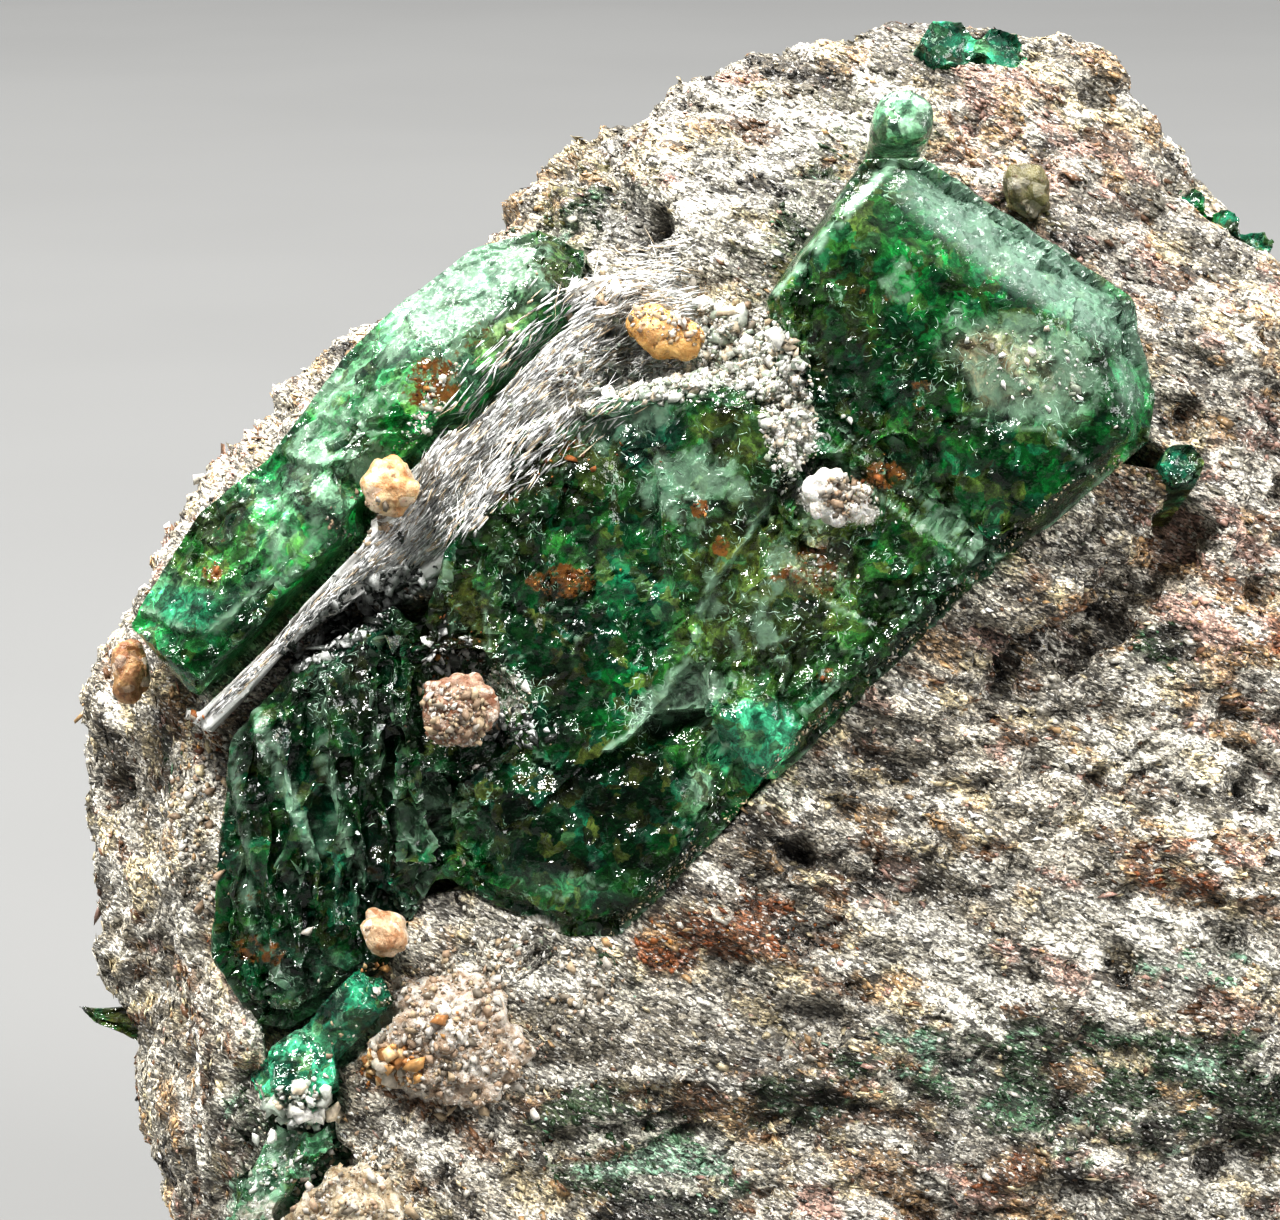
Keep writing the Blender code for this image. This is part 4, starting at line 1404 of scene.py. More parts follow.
@dataclass
class RockSkin:
    """The rock's whole surface, closed up against the crystals and broken along its sheets."""

    voxel: float = 0.4
    seat_reach: float = 0.95
    seat_press: float = 0.16
    base_height: float = 0.06
    crystals: tuple[str, ...] = ()

    def build(self) -> Shell:
        """Shape the skin.

        Returns:
            The skin, with its colours, painted shade in its hollows, and how open each point is.
        """
        low, high = (np.array(corner) / MM for corner in CAD_BOX)
        blank = Shell.of_node(ROCK).remeshed(self.voxel)
        out = blank.normals()
        centre = blank.points[blank.faces].mean(axis=1)
        facing = out[blank.faces].mean(axis=1)[:, 2] > -0.05
        seen = facing & (np.abs(centre[:, 0]) < 17.5) & (np.abs(centre[:, 1]) < 16.5)
        shell = blank.refined(seen)
        near = Surface(*[Shell.of_node(node) for node in self.crystals])
        place, normal, away = near.nearest(shell.points, self.seat_reach)
        pull = smooth(self.seat_reach, 0.45, away)
        shell.points += (place - normal * self.seat_press - shell.points) * pull[:, None]
        shell.points = shell.points + (shell.spread(shell.points, 2) - shell.points) * 0.6
        row = FaceFrame.to_row(shell.points) / MM
        floor = smooth(self.base_height, 0.9, row[:, 2])
        room = np.minimum(row - low, high - row)[:, :2].min(axis=1)
        room = np.minimum(room, high[2] - row[:, 2])
        height = self.relief(shell.points, shell.normals())
        height -= 0.35 * smooth(0.9, 0.0, room)
        height *= floor * (1.0 - 0.85 * pull)
        shell = shell.pushed(height)
        row = FaceFrame.to_row(shell.points) / MM
        sunk = row[:, 2] < self.base_height
        row[sunk, 2] = 0.0
        shell.points = FaceFrame.to_face(row * MM)
        shell.values = {
            "tint": self.tint(shell.points, height),
            "open": smooth(0.12, 0.5, away) * smooth(0.1, 0.5, row[:, 2]),
            # Painted shade of the hollows, passed on to the flakes that lie there.
            "shade": 0.55 + 0.65 * smooth(-0.7, 0.3, height),
        }
        return shell

    @staticmethod
    def relief(points: Array, out: Array) -> Array:
        """Work out how far the skin is pushed out or pitted.

        Args:
            points: Rows of u, v, w.
            out: The normals.

        Returns:
            Millimetres for each point.
        """
        sheets = bedding(points)
        level = (points * sheets).sum(axis=1)
        edge = 1.0 - (out * sheets).sum(axis=1) ** 2
        level = level + 0.55 * fractal(points, 3.0, 4, 23)
        height = 0.42 * fractal(points, 2.6, 3, 21)
        for pitch, depth, seed in ((1.15, 0.26, 31), (0.42, 0.11, 37)):
            step = level / pitch + 0.4 * fractal(points, 1.6, 3, seed)
            tooth = step - np.floor(step)
            ledge = smooth(0.0, 0.25, tooth) * (1.0 - tooth) * 1.6 - 0.5
            broken = smooth(-0.5, 0.3, fractal(points, 2.2, 2, seed + 3))
            height += depth * ledge * edge * broken
        grains = Cells(streaks(points, 0.8, 0.34), 41)
        height += 0.2 * (grains.chance() - 0.5) - 0.24 * grains.first ** 2 + 0.05
        warp = 0.8 * np.stack([fractal(points, 2.4, 3, k) for k in (44, 45, 46)], 1)
        lumps = Cells(streaks(points, 2.9, 1.2) + warp, 45)
        worn = 0.25 + 0.75 * smooth(-0.4, 0.4, fractal(points, 4.5, 2, 48))
        height += worn * (0.6 * (lumps.chance() - 0.5) - 0.45 * lumps.first ** 2 + 0.1)
        holes = Cells(points / 2.1, 47)
        depth = smooth(0.34, 0.08, holes.first + 0.08 * fractal(points, 0.7, 2, 49))
        height -= 0.8 * depth * (holes.chance() > 0.55)
        height += 0.10 * fractal(points, 0.5, 3, 43, 0.7)
        return height

    @staticmethod
    def tint(points: Array, height: Array) -> Array:
        """Colour the skin, with painted shade darkening its hollows.

        Args:
            points: Rows of u, v, w.
            height: How far each point was pushed.

        Returns:
            Rows of colour.
        """
        minerals = Minerals(points)
        colour = 0.7 * minerals.pick(minerals.clump) + 0.3 * minerals.mean()
        # Painted shade: the lower a point was pushed, the darker its colour.
        shade = 0.3 + 0.62 * smooth(-0.7, 0.35, height)
        return colour * shade[:, None]


class Spread(Enum):
    """Which part of the rock a coat of flakes lies on."""

    FRONT = "front"
    REST = "rest"


@dataclass
class FlakeCoat:
    """A coat of flakes or grains over part of the rock, joined in one mesh."""

    name: str
    spread: Spread
    count: int
    length: tuple[float, float]
    width: tuple[float, float]
    thick: tuple[float, float]
    rim: int
    finish: FlakeFinish
    tilt: float
    sheet_pull: float
    lift: float
    seed: int
    glow: float = 1.0
    alike: float = 0.74

    def lay(self, skin: Shell) -> Piece:
        """Strew the coat.

        Args:
            skin: The rock's skin.

        Returns:
            The piece.
        """
        rng = np.random.default_rng(self.seed)
        face = skin.face_normals()
        area = np.linalg.norm(face, axis=1) * 0.5
        centre = skin.points[skin.faces].mean(axis=1)
        out = unit(face)
        seen = smooth(-0.25, 0.1, out[:, 2]) * (np.abs(centre[:, 0]) < 17.5) * (np.abs(centre[:, 1]) < 16.5)
        share = seen if self.spread is Spread.FRONT else 1.0 - seen
        weight = area * share * skin.values["open"][skin.faces].mean(axis=1)
        weight = np.cumsum(weight / weight.sum())
        pick = np.searchsorted(weight, rng.random(self.count) * 0.999999)
        corner = rng.dirichlet((1.0, 1.0, 1.0), self.count)
        spot = (skin.points[skin.faces[pick]] * corner[:, :, None]).sum(axis=1)
        normal = skin.normals()[skin.faces[pick]].mean(axis=1)
        sheets = bedding(spot)
        flip = np.sign((normal * sheets).sum(axis=1, keepdims=True) + 1e-6)
        flat = normal + sheets * flip * self.sheet_pull + rng.normal(0.0, self.tilt, (self.count, 3))
        along = np.cross(normal, sheets) + rng.normal(0.0, 0.22, (self.count, 3))
        size = np.stack([rng.uniform(*reach, self.count) for reach in (self.length, self.width, self.thick)], 1)
        size *= (0.7 + 0.9 * rng.random((self.count, 1)) ** 3)
        spot = spot + unit(normal) * (self.lift * size[:, 1:2])
        chip = Chip(self.rim)
        coat = chip.strewn(spot, flat, along, size, self.seed + 1)
        minerals = Minerals(spot)
        alone = rng.random(self.count)
        tint = minerals.pick(np.where(rng.random(self.count) < self.alike, minerals.clump, alone))
        tint = tint * rng.uniform(0.8, 1.14, (self.count, 1)) * self.glow
        # Painted shade: flakes lying in the skin's hollows are darkened by its shade value.
        tint = tint * (skin.values["shade"][skin.faces[pick]] * corner).sum(axis=1)[:, None]
        coat.values["tint"] = chip.spread_value(np.clip(tint, 0.0, 0.9))
        return coat.piece(self.name, self.finish.make()).settle(ROCK_SLOT)


COATS = (
    FlakeCoat(
        "mica_flakes_front", Spread.FRONT, 15000, (0.14, 0.46), (0.09, 0.22), (0.025, 0.05), 5,
        FlakeFinish("silver_mica_flakes", 0.3, 0.7), 0.3, 0.9, 0.06, 201, 1.0,
    ),
    FlakeCoat(
        "sand_grains_front", Spread.FRONT, 14000, (0.1, 0.34), (0.08, 0.18), (0.06, 0.15), 4,
        FlakeFinish("quartz_grains", 0.5, 0.5, 7.0), 0.45, 0.5, 0.02, 211,
    ),
    FlakeCoat(
        "mica_flakes_round", Spread.REST, 9800, (0.3, 0.9), (0.16, 0.38), (0.04, 0.09), 5,
        FlakeFinish("silver_mica_flakes_round", 0.32, 0.65, 5.0), 0.3, 0.9, 0.04, 221, 0.9,
    ),
)


# ---- the emeralds -------------------------------------------------------------------------


Tinted = tuple[BerylTint, Patch]


@dataclass
class Emerald:
    """One emerald, cut afresh from its solid: flat faces, steps, dished chips and sharp edges."""

    name: str
    node: str
    slot: str
    finish: BerylFinish
    first: BerylTint
    second: BerylTint
    voxel: float = 0.16
    fine: bool = False
    dish: float = 0.10
    step: float = 0.07
    seed: int = 300
    tinted: tuple[Tinted, ...] = ()
    pale: tuple[Patch, ...] = ()
    rust: tuple[Patch, ...] = ()
    frost: tuple[Patch, ...] = ()
    snow: tuple[Patch, ...] = ()
    seams: tuple[Seam, ...] = ()
    still: tuple[Patch, ...] = ()
    shard: float = 1.0
    edge_wear_and_highlight: float = 0.6
    shine: float = 1.0

    def build(self) -> Piece:
        """Cut, colour and seat the crystal.

        Returns:
            The piece.
        """
        shell = Shell.of_node(self.node).remeshed(self.voxel)
        if self.fine:
            shell = shell.refined(self.front(shell))
        shell = shell.pushed(self.relief(shell))
        shell.values = self.colours(shell)
        return shell.piece(self.name, self.finish.make(), 32.0).settle(self.slot, self.node)

    @staticmethod
    def front(shell: Shell) -> Array:
        """Pick the triangles that face the viewer."""
        return unit(shell.face_normals())[:, 2] > 0.2

    def relief(self, shell: Shell) -> Array:
        """Work out the steps and chips of the broken surface.

        Args:
            shell: The crystal so far.

        Returns:
            Millimetres for each point, none above its face.
        """
        points = shell.points
        rough = smooth(-0.35, 0.35, fractal(points, 2.4, 3, self.seed))
        broad = fractal(points, 2.6, 3, self.seed + 10) * 5.0
        steps = (np.floor(broad) + smooth(0.0, 0.18, broad - np.floor(broad))) / 5.0
        large, small = self.shards(points)
        height = self.step * (steps - 1.0)
        height += self.dish * (0.35 + rough) * (1.8 * large.tilted() - 0.5 * large.chance() - 0.35)
        height += 0.45 * self.dish * (0.3 + rough) * (1.6 * small.tilted() - 0.25)
        stray = self.stray(points)
        for seam in self.seams:
            near, fall = seam.weight(points, stray)
            height += seam.rise * near - seam.drop * fall
        snow = strongest(self.snow, points, 0.5 * fractal(points, 1.1, 4, self.seed + 40))
        height += snow * (0.16 * fractal(points, 0.4, 3, self.seed + 60, 0.7) + 0.03)
        return height * (0.25 + 0.75 * smooth(0.1, 0.6, shell.normals()[:, 2]))

    def shards(self, points: Array) -> tuple[Cells, Cells]:
        """Break the crystal into large and small shards.

        Args:
            points: Rows of u, v, w.

        Returns:
            The large shards and the small ones.
        """
        warp = points + 0.45 * np.stack([fractal(points, 1.1, 3, self.seed + k) for k in (1, 2, 3)], 1)
        return Cells(warp / self.shard, self.seed + 20), Cells(warp / (self.shard * 0.36), self.seed + 30)

    def stray(self, points: Array) -> Array:
        """Give the wander of the seams.

        Args:
            points: Rows of u, v, w.

        Returns:
            Rows of u, v.
        """
        return 0.2 * np.stack([fractal(points, 0.8, 5, self.seed + k, 0.62) for k in (71, 72)], 1)

    def colours(self, shell: Shell) -> dict[str, Array]:
        """Colour the crystal.

        Args:
            shell: The finished shape.

        Returns:
            The values that the finish reads.
        """
        points = shell.points
        wobble = 0.5 * fractal(points, 1.1, 4, self.seed + 40)
        body = np.tile(self.first.value, (len(points), 1))
        other = np.tile(self.second.value, (len(points), 1))
        for tint, patch in self.tinted:
            weight = patch.weight(points, wobble)[:, None]
            body = body + (np.array(tint.value) - body) * weight
            other = other + (np.array(tint.value) * 0.7 - other) * weight * 0.8
        # Pale convex edges: partly chipped-edge wear, partly painted highlight.
        edge = smooth(0.02, 0.06, shell.crest(2)) * smooth(0.0, 0.45, fractal(points, 0.9, 3, self.seed + 50))
        large, small = self.shards(points)
        facet = (0.35 + 1.5 * large.chance() ** 1.5) * (0.6 + 0.8 * small.chance())
        edge = edge * self.edge_wear_and_highlight
        stray = self.stray(points)
        gaps = smooth(-0.25, 0.2, fractal(points, 0.35, 3, self.seed + 80, 0.7))
        # Pale lines along the seams: partly real fissures, partly painted highlight.
        for seam in self.seams:
            edge = np.maximum(edge, seam.glow * gaps * seam.weight(points, stray)[0])
        return {
            "facet": facet * self.shine,
            "snow": strongest(self.snow, points, wobble),
            "body": body,
            "body2": other,
            "pale": strongest(self.pale, points, wobble),
            "rust": strongest(self.rust, points, wobble),
            "frost": strongest(self.frost, points, wobble * 0.4),
            "crest": edge,
            "crazed": 1.0 - 0.9 * strongest(self.still, points, wobble),
        }


@dataclass
class TaperedEmerald(Emerald):
    """A small crystal that narrows to a point along a direction."""

    tip: tuple[float, float] = (-1.0, 0.0)
    keep: float = 0.2

    def relief(self, shell: Shell) -> Array:
        """Narrow the crystal to its tip, then chip it.

        Args:
            shell: The crystal so far.

        Returns:
            Millimetres for each point.
        """
        way = np.array((*self.tip, 0.0))
        way = way / np.linalg.norm(way)
        middle = (shell.points.min(axis=0) + shell.points.max(axis=0)) / 2.0
        reach = (shell.points - middle) @ way
        low, high = reach.min(), reach.max()
        share = 1.0 - (1.0 - self.keep) * smooth(low + 0.15 * (high - low), high, reach)
        axis = middle + reach[:, None] * way
        shell.points = axis + (shell.points - axis) * share[:, None]
        return super().relief(shell)


@dataclass
class RoundedEmerald(Emerald):
    """A small crystal whose edges have worn round."""

    rounds: int = 40

    def relief(self, shell: Shell) -> Array:
        """Round the crystal off, then chip it.

        Args:
            shell: The crystal so far.

        Returns:
            Millimetres for each point.
        """
        shell.points = shell.spread(shell.points, self.rounds)
        return super().relief(shell)


@dataclass
class MainEmerald(Emerald):
    """The big prism: a clean block at the right, a broken slab, and a ridged block at the left."""

    ridge: float = 0.27
    calm: tuple[Patch, ...] = ()

    def relief(self, shell: Shell) -> Array:
        """Add the left block's splintered ridges to the steps and chips.

        Args:
            shell: The crystal so far.

        Returns:
            Millimetres for each point.
        """
        points = shell.points
        height = super().relief(shell)
        height *= 1.0 - 0.75 * strongest(self.calm, points, 0.3 * fractal(points, 1.0, 3, 7))
        left = self.splintered(points)
        run = np.stack(
            [
                (points[:, 0] * 0.945 + points[:, 1] * 0.326 + 0.25 * fractal(points, 1.6, 3, 11)) / 0.62,
                (points[:, 0] * -0.326 + points[:, 1] * 0.945) / 2.6,
                points[:, 2] / 2.0,
            ],
            axis=1,
        )
        blade = 1.0 - np.abs(value_noise(run, 13)) * 2.2
        blade += 0.5 * (1.0 - np.abs(value_noise(run * 2.3, 17)) * 2.0)
        rise = np.clip(shell.normals()[:, 2], 0.0, 1.0)
        return height + left * rise * (self.ridge * (np.clip(blade, -1.2, 1.3) - 1.1))

    @staticmethod
    def splintered(points: Array) -> Array:
        """Say how splintered the crystal is: 1 on the left block, 0 on the rest."""
        return smooth(-4.6, -6.6, points[:, 0] + 0.15 * points[:, 1])

    def colours(self, shell: Shell) -> dict[str, Array]:
        """Put painted shade in the gaps of the left block, darken the rest of it, and paint its proud blades pale mint
        with pale edges, partly painted highlight.

        Args:
            shell: The finished shape.

        Returns:
            The values that the finish reads.
        """
        values = super().colours(shell)
        left = self.splintered(shell.points)
        proud = shell.crest(14)
        # Painted shade in the left block's gaps.
        gap_shade = left * smooth(0.02, -0.1, proud)
        values["body"] = values["body"] + (np.array(BerylTint.NIGHT.value) - values["body"]) * gap_shade[:, None]
        # Proud blades painted pale mint with pale edges, partly painted highlight.
        blade = left * smooth(0.12, 0.3, proud) * smooth(-5.7, -6.7, shell.points[:, 0])
        values["body"] = values["body"] + (np.array(BerylTint.MINT.value) - values["body"]) * (0.6 * blade)[:, None]
        values["facet"] = values["facet"] * (1.0 - 0.3 * left * (1.0 - blade))
        values["crest"] = np.maximum(values["crest"] * (1.0 - 0.2 * left), blade * 0.3)
        return values


MAIN_TINTS: tuple[Tinted, ...] = (
    (BerylTint.GRASS, Patch(2.4, 1.0, 2.6, 2.6)),
    (BerylTint.GRASS, Patch(5.0, -0.6, 2.0, 1.6, 40)),
    (BerylTint.MOSS, Patch(3.4, 0.6, 1.9, 2.6, -30, 0.8)),
    (BerylTint.OLIVE, Patch(2.2, 2.2, 1.0, 1.3, 20, 0.6)),
    (BerylTint.MOSS, Patch(2.6, 4.4, 1.0, 0.9, 0, 0.8)),
    (BerylTint.MOSS, Patch(4.6, 7.2, 0.9, 1.3, -35, 0.8)),
    (BerylTint.OLIVE, Patch(-4.6, -1.2, 1.1, 1.9, 0, 0.8)),
    (BerylTint.OLIVE, Patch(-1.4, 4.3, 1.5, 0.7, 15, 0.8)),
    (BerylTint.OLIVE, Patch(6.0, 3.2, 0.9, 0.8, 0, 0.6)),
    (BerylTint.TEAL, Patch(0.0, 4.3, 0.9, 0.8)),
    (BerylTint.TEAL, Patch(-0.6, 0.2, 1.4, 1.1)),
    (BerylTint.MINT, Patch(1.2, 3.0, 1.2, 0.8, 10, 0.7)),
    (BerylTint.DEEP, Patch(-1.6, -1.2, 2.0, 2.4)),
    (BerylTint.DEEP, Patch(-0.4, -5.0, 2.6, 2.2)),
    (BerylTint.NIGHT, Patch(-0.8, -4.0, 2.2, 0.8, -6, 0.9)),
    (BerylTint.NIGHT, Patch(-2.4, -0.6, 1.0, 1.8, 10, 0.8)),
    (BerylTint.NIGHT, Patch(-2.8, -5.6, 1.2, 1.0, 0, 0.8)),
    (BerylTint.SMOKE, Patch(-3.2, 3.6, 1.4, 0.8, 25, 0.9)),
    (BerylTint.NIGHT, Patch(-4.0, -4.2, 1.6, 1.6, 0, 0.8)),
    (BerylTint.NIGHT, Patch(-6.9, -0.4, 2.4, 1.0, 40)),
    (BerylTint.DEEP, Patch(-8.4, -6.4, 1.9, 4.2, 15)),
    (BerylTint.TEAL, Patch(-8.1, -5.6, 0.5, 2.4, 24, 0.9)),
    (BerylTint.TEAL, Patch(-6.3, -7.2, 0.45, 2.0, 18, 0.8)),
    (BerylTint.DEEP, Patch(9.0, 2.9, 1.4, 1.8, 30)),
    (BerylTint.BRIGHT, Patch(7.2, 8.2, 2.2, 1.9, -30)),
    (BerylTint.BRIGHT, Patch(12.0, 5.2, 0.8, 1.2, -10)),
    (BerylTint.GRASS, Patch(4.6, 8.4, 1.2, 2.2, -35)),
    (BerylTint.DEEP, Patch(5.2, 5.6, 1.5, 1.4, 0, 0.9)),
    (BerylTint.MINT, Patch(10.8, 8.0, 2.2, 0.9, -35, 0.8)),
    (BerylTint.PALE, Patch(9.4, 6.0, 1.9, 1.3, -25, 0.8)),
    (BerylTint.CREAM, Patch(8.6, 6.0, 0.6, 0.9, 20)),
    (BerylTint.PALE, Patch(0.9, -2.4, 1.3, 0.5, 28)),
    (BerylTint.CYAN, Patch(2.8, -3.3, 1.2, 0.9, 30)),
    (BerylTint.PALE, Patch(1.5, -4.5, 0.42, 0.6, 0, 0.8)),
    (BerylTint.PALE, Patch(-5.2, -4.9, 0.6, 1.0, 10, 0.4)),
    (BerylTint.MINT, Patch(-1.9, -6.8, 1.5, 0.35, -8, 0.4)),
    (BerylTint.MINT, Patch(-8.0, -9.6, 1.2, 0.9, 0, 0.8)),
    (BerylTint.MINT, Patch(-7.6, -1.9, 1.0, 0.7, 0, 0.7)),
    (BerylTint.CREAM, Patch(4.4, 1.1, 0.9, 0.7, 0, 0.5)),
    (BerylTint.NIGHT, Patch(-0.6, -5.3, 2.4, 1.3, 0, 0.6)),
    (BerylTint.BRIGHT, Patch(7.0, 8.0, 1.2, 1.3, -30, 0.8)),
    (BerylTint.CREAM, Patch(9.3, 6.1, 1.4, 0.8, -25, 0.5)),
    (BerylTint.BRIGHT, Patch(12.2, 5.3, 0.6, 1.3, -10)),
)

MAIN_EMERALD = MainEmerald(
    name="emerald_main_crystal",
    node="emerald_main",
    slot="emerald_deep",
    finish=BerylFinish("deep_emerald"),
    first=BerylTint.GRASS,
    second=BerylTint.DEEP,
    voxel=0.2,
    fine=True,
    dish=0.3,
    step=0.2,
    seed=310,
    tinted=MAIN_TINTS,
    pale=(
        Patch(9.4, 6.2, 2.2, 1.5, -25), Patch(1.4, 3.0, 1.6, 1.2), Patch(0.9, -2.3, 1.4, 0.7, 28),
        Patch(-5.0, -4.8, 0.9, 1.1, 0, 0.7), Patch(3.2, 0.6, 1.6, 2.6, -30, 0.6), Patch(8.0, 1.6, 1.4, 0.8, -40),
        Patch(-0.6, 5.0, 2.6, 0.9, 20), Patch(6.4, 8.2, 0.5, 0.6), Patch(-2.0, -6.9, 1.6, 0.4, 0, 0.6),
    ),
    rust=(
        Patch(-1.9, 0.7, 1.0, 0.45), Patch(4.6, -1.6, 0.3, 0.3), Patch(1.5, 2.5, 0.3, 0.3),
        Patch(-3.4, 2.7, 0.45, 0.25), Patch(2.0, 1.6, 0.3, 0.3), Patch(4.2, 1.0, 1.1, 0.9, 0, 0.8),
        Patch(-4.4, -1.0, 0.9, 1.4, 0, 0.6), Patch(-1.8, 4.4, 1.3, 0.6, 20, 0.7), Patch(6.0, 3.4, 0.7, 0.5),
        Patch(-9.6, -8.6, 0.8, 0.5, 0, 0.9), Patch(5.6, 7.6, 0.9, 0.6, 0, 0.5), Patch(-9.9, -7.2, 0.4, 1.4, 0, 0.6),
        Patch(7.1, 5.3, 0.5, 0.5, 0, 0.7),
    ),
    frost=(Patch(9.4, 8.9, 3.9, 0.85, -35), Patch(12.4, 6.2, 0.6, 1.2, -10, 0.6)),
    edge_wear_and_highlight=0.75,
    shine=0.7,
    still=(
        Patch(-0.4, -5.6, 3.0, 2.0), Patch(7.2, 8.2, 2.0, 1.7, -30), Patch(9.2, 2.9, 1.6, 1.8, 30),
        Patch(-7.4, -5.6, 2.6, 4.2, 15), Patch(-1.6, -1.6, 1.6, 1.2), Patch(2.9, -3.4, 1.1, 0.9, 30),
    ),
    snow=(
        Patch(1.4, 6.6, 2.6, 0.8, -22), Patch(3.7, 4.8, 0.7, 1.7, 8), Patch(-1.4, 5.5, 1.5, 0.5, 38),
        Patch(4.9, 2.7, 1.3, 0.5, -12), Patch(4.2, 1.1, 0.8, 0.4, 0, 0.6), Patch(9.6, 6.2, 1.6, 0.7, -20, 0.55),
        Patch(-3.5, -2.2, 1.0, 0.8, -40, 0.7), Patch(-9.2, -2.8, 0.5, 0.8, 0, 0.6), Patch(-3.2, -8.2, 1.4, 0.6),
    ),
    seams=(
        Seam(((8.9, 0.9), (6.8, 2.2), (5.2, 3.5), (4.3, 4.4), (3.2, 5.2)), 0.11, -0.06, 0.95, 0.55, 2.6),
        Seam(((3.6, 5.6), (5.5, 4.0), (7.1, 2.8), (9.2, 1.2)), 0.09, -0.06, 0.9),
        Seam(((0.6, -2.2), (1.25, -1.1), (1.7, 0.5), (3.3, 2.7)), 0.09, 0.0, 0.75, 0.3, 1.4),
        Seam(((6.3, 11.2), (3.4, 7.9)), 0.2, 0.0, 1.0),
        Seam(((-0.6, -8.2), (8.8, 0.8), (13.0, 4.6)), 0.12, 0.0, 0.5),
        Seam(((-5.8, -7.4), (-5.3, -4.0), (-5.5, -0.6)), 0.24, -0.25, 0.0, 0.3, 1.6),
        Seam(((-0.8, -3.5), (0.3, -2.6), (1.4, -2.4), (2.1, -3.4), (3.1, -4.2)), 0.1, 0.04, 1.0, 0.9, 4.2),
        Seam(((-4.1, 0.6), (-3.8, -0.8), (-3.9, -2.6), (-2.6, -3.6)), 0.1, 0.0, 0.5, 0.4, 1.5),
        Seam(((-2.4, 4.2), (-1.0, 4.9), (0.2, 3.6), (0.3, 1.4)), 0.08, 0.0, 0.4, 0.25, 1.3),
        Seam(((5.9, -0.4), (4.4, 0.4), (3.6, 1.8)), 0.08, 0.0, 0.5, 0.25, 1.2),
        Seam(((11.9, 2.8), (10.2, 4.4), (8.2, 4.6)), 0.08, 0.0, 0.5, 0.2, 1.4),
        Seam(((-10.3, -3.0), (-10.1, -5.5), (-9.8, -8.0), (-8.8, -9.6)), 0.26, 0.2, 0.55),
        Seam(((-9.9, -2.4), (-9.2, -3.7), (-8.8, -4.7), (-8.3, -5.6), (-8.2, -6.2)), 0.32, 0.3, 0.9),
        Seam(((-8.0, -2.4), (-7.9, -3.8), (-7.6, -5.0), (-6.9, -7.2)), 0.26, 0.25, 0.7),
        Seam(((-6.6, -3.2), (-6.0, -5.0), (-5.9, -6.4)), 0.22, 0.15, 0.5),
        Seam(((-9.1, -4.2), (-8.9, -6.6), (-8.3, -8.4)), 0.34, -0.4, 0.0),
        Seam(((-8.5, -3.6), (-8.2, -5.0), (-7.6, -6.8)), 0.3, -0.4, 0.0),
    ),
    calm=(
        Patch(7.6, 7.6, 4.4, 2.6, -35), Patch(10.6, 3.6, 2.4, 2.0), Patch(2.9, -3.2, 1.2, 1.0),
        Patch(-8.0, -6.0, 2.6, 4.4, 15, 0.75), Patch(-0.4, -5.4, 3.2, 2.2, 0, 0.7),
    ),
)

EDGE_EMERALD = Emerald(
    name="emerald_edge_crystal",
    node="emerald_edge",
    slot="emerald_pale",
    finish=BerylFinish("pale_emerald", 0.5, (0.4, 0.93, 0.62), 260.0, 0.7, 0.6),
    first=BerylTint.MINT,
    second=BerylTint.BRIGHT,
    voxel=0.2,
    fine=True,
    dish=0.14,
    step=0.1,
    seed=340,
    tinted=(
        (BerylTint.PALE, Patch(-4.6, 7.6, 2.6, 1.5, 42)),
        (BerylTint.PALE, Patch(-7.6, 6.0, 1.3, 1.1, 45, 0.7)),
        (BerylTint.BRIGHT, Patch(-6.6, 5.2, 1.6, 0.8, 40, 0.8)),
        (BerylTint.OLIVE, Patch(-3.6, 7.0, 1.2, 0.6, 30, 0.7)),
        (BerylTint.GRASS, Patch(-10.8, 1.6, 1.5, 1.2, 45)),
        (BerylTint.CYAN, Patch(-11.6, 0.1, 1.2, 0.5, -14)),
        (BerylTint.DEEP, Patch(-11.7, -1.4, 0.9, 0.9)),
        (BerylTint.DEEP, Patch(-9.8, -0.4, 1.6, 0.5, 45, 0.9)),
        (BerylTint.PALE, Patch(-8.0, 3.2, 1.2, 0.8, 45, 0.7)),
        (BerylTint.OLIVE, Patch(-2.4, 8.8, 1.2, 1.0, 20, 0.8)),
    ),
    seams=(
        Seam(((-12.8, 0.1), (-11.8, -0.4), (-10.9, -0.6), (-9.9, 0.3), (-8.3, 1.2)), 0.18, -0.04, 0.8, 0.22, 1.6),
        Seam(((-9.2, 4.1), (-8.1, 3.8), (-6.9, 3.8)), 0.16, 0.0, 0.75, 0.2, 1.4),
        Seam(((-7.2, 6.1), (-8.2, 5.1), (-7.4, 4.8), (-6.0, 4.9)), 0.14, 0.0, 0.6, 0.15, 1.3),
        Seam(((-9.2, 2.8), (-9.0, 1.9), (-9.6, 0.6)), 0.14, 0.0, 0.55, 0.15, 1.2),
    ),
    pale=(Patch(-4.6, 7.8, 3.0, 1.6, 42), Patch(-7.8, 4.6, 1.4, 1.8, 45), Patch(-9.0, 2.0, 1.2, 1.0, 45, 0.7)),
    rust=(
        Patch(-5.2, 5.7, 0.75, 0.8), Patch(-10.8, 0.95, 0.35, 0.35), Patch(-4.2, 6.9, 1.2, 0.4, 30, 0.7),
        Patch(-10.6, 1.8, 0.9, 0.6, 0, 0.5),
    ),
    frost=(Patch(-4.6, 8.2, 2.4, 1.0, 42, 0.5),),
)

